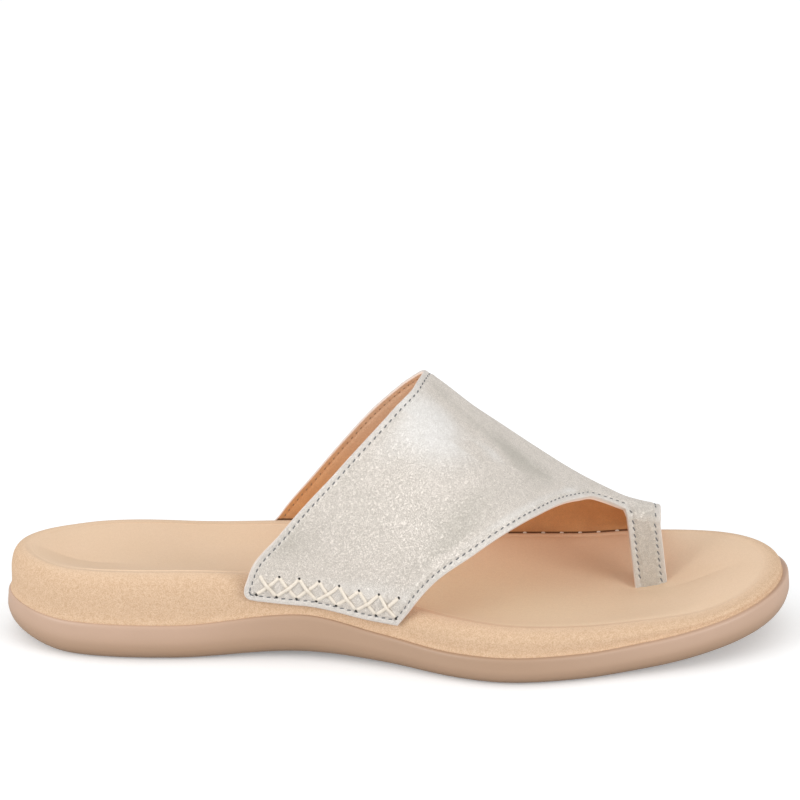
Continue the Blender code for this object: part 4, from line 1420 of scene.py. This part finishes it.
def make_footbed(material):
    """Footbed body: rings up its wall, over the rim to the seam, and a hidden seat below."""
    outline = OUTLINE_SHAPE
    wall = midsole_inset(outline.edge[:, 0])
    rings = Rings()
    seat = outline.ring(wall + SEAT_INSET_SHARE * RIM_WIDTH)
    for share in SEAT_ROWS:
        plan = outline.inward(seat, share)
        rings.add(plan, lip_height(plan[:, 0]) - CUP_DEPTH + SEAT_GAP, 1.0)
    for height, inset in fine_profile(FOOTBED_PROFILE, FOOTBED_ROWS):
        plan = outline.ring(wall + RIM_WIDTH * inset)
        x = plan[:, 0]
        lip = lip_height(x)
        rim = rim_height(x, outline.inner_share(x, plan[:, 1]))
        ridge = SEAM_RIDGE * ridge_strength(x) * bell((1 - inset) / RIDGE_SHARE)
        drop = RIM_DROP * smooth_step((inset - RIM_CREST) / (1 - RIM_CREST))
        nap = 1.0 - np.clip((inset - NAP_FULL_TO) / NAP_FADE, 0.0, 1.0) ** NAP_FADE_POWER * NAP_LOSS
        rings.add(plan, lip + (rim - lip) * height - drop + ridge, nap)
    top = rings.points[-1][:, :2]
    for depth, share in RECESS_ROWS:
        plan = outline.inward(top, share)
        rings.add(plan, footbed_height(*plan.T, share) - depth * MM, 0.0)
    rings.make("footbed_suede_cover", "nap_strength", no_tone, material, "footbed_suede", "midsole")


def insole_painted_light(points):
    """The insole's painted light: a bell along and one across the shoe."""
    along, across, long, wide, tone = INSOLE_PAINTED_LIGHT
    ahead = (points[:, 0] - SHOE_LENGTH * along) / (0.5 * long * MM)
    over = (points[:, 1] - BALL_WIDTH * across) / (wide * MM)
    return tone * bell(ahead) * bell(over)


def make_insole(material):
    """Insole sheet: rings from the seam to the middle line, a tucked edge and a hidden underside."""
    outline = OUTLINE_SHAPE
    seam = outline.ring(midsole_inset(outline.edge[:, 0]) + RIM_WIDTH)
    rings = Rings()
    for share in INSOLE_UNDER_ROWS:
        plan = outline.inward(seam, share)
        rings.add(plan, footbed_height(*plan.T, share) - INSOLE_EDGE_DEPTH, INSOLE_NAP)
    for share in INSOLE_ROWS:
        plan = outline.inward(seam, share)
        distance = np.linalg.norm(plan - seam, axis=1)
        strength = ridge_strength(plan[:, 0])
        ridge = SEAM_RIDGE * strength * bell(distance / RIDGE_WIDTH)
        tuck = TUCK_DEPTH * strength * bell(distance / TUCK_WIDTH)
        rings.add(plan, footbed_height(*plan.T, share) + ridge - tuck - strap_dimple(plan), INSOLE_NAP)
    rings.make("insole_suede_sock", "nap_strength", insole_painted_light, material, "insole_suede", "insole")


def seam_groove(distance):
    """Channel of the stitches less the swell inside it: bells of the distance to the edge."""
    channel = STITCH_GROOVE * bell((distance - STITCH_INSET) / CHANNEL_WIDTH)
    swell = SEAM_SWELL * bell((distance - STITCH_INSET - SWELL_INSET) / SWELL_WIDTH)
    return channel - swell


def edge_drop(distance, radius):
    """How far a rounded edge falls near the border: a quarter circle of the given radius."""
    into = np.clip(1 - distance / radius, 0.0, 1.0)
    return radius * (1 - np.sqrt(1 - into ** 2))


def make_upper_layer(name, outside, inside, edge_inside, material, slot):
    """A layer of the upper between two offsets from its inside surface.

    Its attributes are the distance to the border and the height above the footbed's rim in
    millimetres, the length along the border in stitches, and the tone. Where `edge_inside` is
    False, the hidden inner face takes the look of the cut edge.
    """
    values = {
        "edge_distance": UPPER.edge_distance / MM,
        "edge_along": UPPER.edge_along / STITCH_PITCH,
        "tone": UPPER.tones,
        "above_rim": UPPER.above_rim / MM,
    }
    attributes = {key: np.tile(value, 2) for key, value in values.items()}
    if not edge_inside:
        attributes["edge_distance"][len(UPPER.points):] = 0.0
    points, faces = UPPER.shell(outside, inside)
    place_piece(make_mesh(name, points, faces, material, attributes), slot, "upper")


def make_leather(material):
    """Outer leather: from the lining's back to the full wall, with a rounded edge and its seam."""
    distance = UPPER.edge_distance
    outside = UPPER_WALL - edge_drop(distance, EDGE_ROUNDING) - seam_groove(distance)
    inside = LINING_THICKNESS + LAYER_GAP
    make_upper_layer("upper_metallic_leather", outside, inside, False, material, "metallic_leather")


def make_lining(material):
    """Lining: a thin layer on the upper's inside, with a shallow stitch channel."""
    distance = UPPER.edge_distance
    inside = seam_groove(distance) * LINING_GROOVE_SHARE + edge_drop(distance, LINING_ROUNDING)
    make_upper_layer("upper_tan_lining", LINING_THICKNESS, inside, True, material, "insole_suede")


def stitch_frames(inset):
    """Centres, directions and normals of the edge stitches, and which of them are on the strap.

    Each centre is the border's point moved in across the leather and set on the nearest surface
    point's tangent plane, one for each pitch. Stitches that a corner brings nearer to another edge
    and those in the strap's slot are left out.
    """
    line, travelled, normals = UPPER.border_line
    wanted = (np.arange(int(travelled[-1] / STITCH_PITCH)) + 0.5) * STITCH_PITCH
    ahead = unit(resample(line, travelled, wanted + 0.5 * MM) - resample(line, travelled, wanted - 0.5 * MM))
    inward = unit(np.cross(ahead, unit(resample(normals, travelled, wanted))))
    centre = resample(line, travelled, wanted) + inward * inset
    near = nearest_points(centre, UPPER.points)
    normal = UPPER.normals[near]
    off = np.sum((centre - UPPER.points[near]) * normal, axis=1)
    centre = centre - normal * off[:, None]
    border = nearest_points(centre, UPPER.border_dense)
    clear = np.linalg.norm(centre - UPPER.border_dense[border], axis=1) > STITCH_CLEAR_SHARE * inset
    foot = strap_foot()
    by_strap = np.abs(centre[:, 1] - foot[1]) < STRAP_FOOT_WIDTH
    clear &= ~(by_strap & (centre[:, 2] < foot[2] + 0.5 * STITCH_LENGTH))
    return centre[clear], ahead[clear], normal[clear], near[clear] >= UPPER.hanging_from


def capsule():
    """Unit capsule along x: rings of a circle whose radius is the root of one minus x to the 4th."""
    along = np.linspace(-1.0, 1.0, CAPSULE_ROWS)
    radius = np.sqrt(1 - along ** 4)[:, None]
    radius[[0, -1]] = 0.0
    y = radius * np.cos(ROUND_ANGLES)
    z = radius * np.sin(ROUND_ANGLES)
    x = np.broadcast_to(along[:, None], y.shape)
    return np.stack([x, y, z], axis=-1).reshape(-1, 3), grid_quads(*y.shape, closed=True)


def make_capsules(name, centres, ahead, normals, sizes, material):
    """A piece of small capsules, each along its direction on the leather, with its half sizes."""
    frames = np.stack([ahead, unit(np.cross(normals, ahead)), normals], axis=1)
    template, quads = capsule()
    local = template * np.broadcast_to(sizes, (len(centres), 3))[:, None, :]
    points = np.einsum("nvi,nij->nvj", local, frames) + centres[:, None, :]
    faces = quads[None] + (np.arange(len(centres)) * len(template))[:, None, None]
    place_piece(make_mesh(name, points.reshape(-1, 3), faces.reshape(-1, 4), material, merge=True))


def make_edge_stitches(name, inset, offset, material, way, size):
    """Machine stitches along every edge: small capsules set askew in their channel.

    `way` is 1 or -1 for the side to which they lean. Those of the strap are longer and lean more.
    """
    centre, ahead, normal, on_strap = stitch_frames(inset)
    slant = (way * np.where(on_strap, STRAP_STITCH_SLANT, STITCH_SLANT))[:, None]
    turned = ahead * np.cos(slant) + unit(np.cross(normal, ahead)) * np.sin(slant)
    length = np.where(on_strap, STRAP_STITCH_LENGTH, STITCH_LENGTH)
    width = np.full(len(length), STITCH_WIDTH)
    sizes = 0.5 * size * np.stack([length, width, STITCH_FLATNESS * width], axis=1)
    make_capsules(name, centre + normal * offset, turned, normal, sizes, material)


def leather_place(x, around, offset):
    """Point at an offset from the upper's inside, and the outward normal there."""
    along = last_point(x + STATION_STEP, around) - last_point(x - STATION_STEP, around)
    over = last_point(x, around + ROUND_STEP) - last_point(x, around - ROUND_STEP)
    normal = unit(np.cross(along, over))
    point = last_point(x, around)
    near = nearest_points(point.reshape(-1, 3), UPPER.points).reshape(np.shape(x))
    lift = np.sum((UPPER.points[near] - point) * normal, axis=-1)
    return point + normal * (lift + offset)[..., None], normal


class CrossRow:
    """A row of cross stitches: its side, its number, and the stations and heights of its holes."""

    def __init__(self, side, count, start, pitch, low, high):
        self.side = side
        self.count = count
        self.low_x = (start + pitch * np.arange(count + 1)) * MM
        self.high_x = self.low_x + CROSS_SHIFT
        self.low = low * MM
        self.high = high * MM


def thread_tubes(row):
    """Threads of the cross stitching: arcs from hole to hole, every second one lifted over.

    Each thread rises out of its hole in a flat arch: one minus a high power of the way from its
    middle. The upper one of each cross has a bell of lift in the middle.
    """
    share = np.linspace(0.0, 1.0, THREAD_STEPS + 1)
    arch = np.clip(1 - np.abs(2 * share - 1) ** THREAD_ARCH_POWER, 0.0, 1.0)
    over = THREAD_LIFT * bell((share - 0.5) / THREAD_LIFT_SHARE)
    ends = ((row.high_x, row.high), (row.low_x, row.low))
    tubes = []
    for turn, ((from_x, from_height), (to_x, to_height)) in enumerate((ends, ends[::-1])):
        height = from_height + (to_height - from_height) * share
        for cross in range(row.count):
            x = from_x[cross] + (to_x[cross + 1] - from_x[cross]) * share
            rise = THREAD_RISE * arch - THREAD_SINK + over * (cross % 2 == turn)
            around = place_above_edge(x, row.side, height)
            tubes.append(leather_place(x, around, UPPER_WALL + rise))
    return tubes


def tube_mesh(tubes):
    """Ellipses carried along each line of points, closed by shrinking the first and the last."""
    points = []
    for centre, normal in tubes:
        side = unit(np.cross(normal, unit(np.gradient(centre, axis=0))))
        size = np.ones(len(centre))
        size[[0, -1]] = THREAD_TIP_SHARE
        ring = (
            side[:, None] * (0.5 * THREAD_WIDTH * np.cos(ROUND_ANGLES))[None, :, None]
            + normal[:, None] * (0.5 * THREAD_HEIGHT * np.sin(ROUND_ANGLES))[None, :, None]
        )
        points.append((centre[:, None] + ring * size[:, None, None]).reshape(-1, 3))
    quads = grid_quads(THREAD_STEPS + 1, len(ROUND_ANGLES), closed=True)
    faces = [quads + k * len(points[0]) for k in range(len(points))]
    return np.concatenate(points), np.concatenate(faces)


def make_cross_stitches(name, row, material):
    """The cream cross stitching along one lower edge of the upper."""
    place_piece(make_mesh(name, *tube_mesh(thread_tubes(row)), material))


def make_hole_shadows(name, row, material):
    """Painted shade of the awl holes at the ends of the cross stitches: dark flat capsules set into the
    leather.
    """
    x = np.concatenate([row.low_x, row.high_x])
    height = np.repeat([row.low, row.high], row.count + 1)
    around = place_above_edge(x, row.side, height)
    centre, normal = leather_place(x, around, UPPER_WALL - HOLE_SINK)
    ahead = unit(leather_place(x + MM, around, UPPER_WALL)[0] - centre)
    turned = unit(ahead * HOLE_LEAN + unit(np.cross(normal, ahead)) * row.side)
    make_capsules(name, centre, turned, normal, (0.5 * HOLE_LENGTH, 0.5 * HOLE_WIDTH, HOLE_HEIGHT), material)


def make_thread_ends(name, row, material):
    """Thread ends of the inner side's cross stitching, which show on the lining above the footbed."""
    around = place_above_edge(row.high_x, row.side, row.high - THREAD_END_DROP)
    centre, normal = leather_place(row.high_x, around, 0.0)
    ahead = unit(leather_place(row.high_x + MM, around, 0.0)[0] - centre)
    make_capsules(name, centre, ahead, normal, THREAD_END_SIZES, material)


def make_floor():
    """Plain white floor; what it throws back on the shoe is weaker than what the camera sees."""
    look = Look("white_floor_look", Roughness=0.9, Specular_IOR_Level=0.1, Emission_Strength=FLOOR_GLOW)
    seen = look.add("ShaderNodeLightPath").outputs["Is Camera Ray"]
    look.set(Base_Color=look.mix(seen, "floor bounce", "floor seen"))
    look.set(Emission_Color=look.mix(seen, "black", "white"))
    mesh = bpy.data.meshes.new("studio_floor")
    corners = [(x * FLOOR_HALF, y * FLOOR_HALF, 0) for x, y in ((-1, -1), (1, -1), (1, 1), (-1, 1))]
    mesh.from_pydata(corners, [], [(0, 1, 2, 3)])
    mesh.materials.append(look.material)
    floor = bpy.data.objects.new("studio_floor", mesh)
    bpy.context.scene.collection.objects.link(floor)


def make_soft_box(name, place, power):
    """Area light aimed at the middle of the shoe."""
    lamp = bpy.data.lights.new(name, "AREA")
    lamp.shape = "RECTANGLE"
    lamp.size, lamp.size_y = SOFT_BOX_SIZE
    lamp.energy = power
    light = bpy.data.objects.new(name, lamp)
    bpy.context.scene.collection.objects.link(light)
    back = np.array(place) - np.array(LIGHT_TARGET)
    light.location = place
    tilt = math.acos(back[2] / np.linalg.norm(back))
    light.rotation_euler = (tilt, 0.0, math.atan2(back[0], -back[1]))


def make_lights():
    """Even pale surroundings and a large soft box at the left and at the right, before the shoe."""
    world = bpy.data.worlds.new("studio")
    world.use_nodes = True
    background = world.node_tree.nodes["Background"]
    background.inputs["Color"].default_value = (1, 1, 1, 1)
    background.inputs["Strength"].default_value = WORLD_STRENGTH
    bpy.context.scene.world = world
    make_soft_box("left_soft_box", LEFT_BOX_PLACE, LEFT_BOX_POWER)
    make_soft_box("right_soft_box", RIGHT_BOX_PLACE, RIGHT_BOX_POWER)


def make_camera():
    """Camera at the photo's angle: back from the target by the azimuth and the elevation."""
    data = bpy.data.cameras.new("camera")
    data.lens = CAMERA_LENS
    data.sensor_width = CAMERA_SENSOR
    data.clip_start, data.clip_end = CAMERA_CLIP
    camera = bpy.data.objects.new("camera", data)
    bpy.context.scene.collection.objects.link(camera)
    level = math.cos(CAMERA_ELEVATION)
    back = np.array([
        math.sin(CAMERA_AZIMUTH) * level,
        -math.cos(CAMERA_AZIMUTH) * level,
        math.sin(CAMERA_ELEVATION),
    ])
    camera.location = np.array(CAMERA_TARGET) + back * CAMERA_DISTANCE
    camera.rotation_euler = (0.5 * math.pi - CAMERA_ELEVATION, 0.0, CAMERA_AZIMUTH)
    bpy.context.scene.camera = camera


def main():
    """Every piece of the shoe, then the floor, the lights and the camera."""
    cream = thread_material("cream thread")
    grey = thread_material("grey thread")
    hole = thread_material("awl hole")
    make_outsole(outsole_material())
    make_footbed(suede_material("side_suede_look"))
    make_insole(suede_material("top_suede_look"))
    make_leather(leather_material())
    make_lining(lining_material())
    brown = thread_material("brown thread")
    make_edge_stitches("edge_stitches_outside", STITCH_INSET, UPPER_WALL - STITCH_GROOVE, grey, 1, 1.0)
    depth = LINING_GROOVE_SHARE * STITCH_GROOVE
    make_edge_stitches("edge_stitches_lining", LINING_STITCH_INSET, depth, brown, -1, LINING_STITCH_SIZE)
    outer_row = CrossRow(*OUTER_CROSSES)
    inner_row = CrossRow(*INNER_CROSSES)
    make_cross_stitches("outer_cross_stitches", outer_row, cream)
    make_cross_stitches("inner_cross_stitches", inner_row, cream)
    # Painted shade of the awl holes.
    make_hole_shadows("outer_awl_hole_shadows", outer_row, hole)
    make_hole_shadows("inner_awl_hole_shadows", inner_row, hole)
    make_thread_ends("inner_thread_ends", inner_row, cream)
    make_floor()
    make_lights()
    make_camera()
    bpy.context.scene.view_settings.view_transform = "Standard"


main()
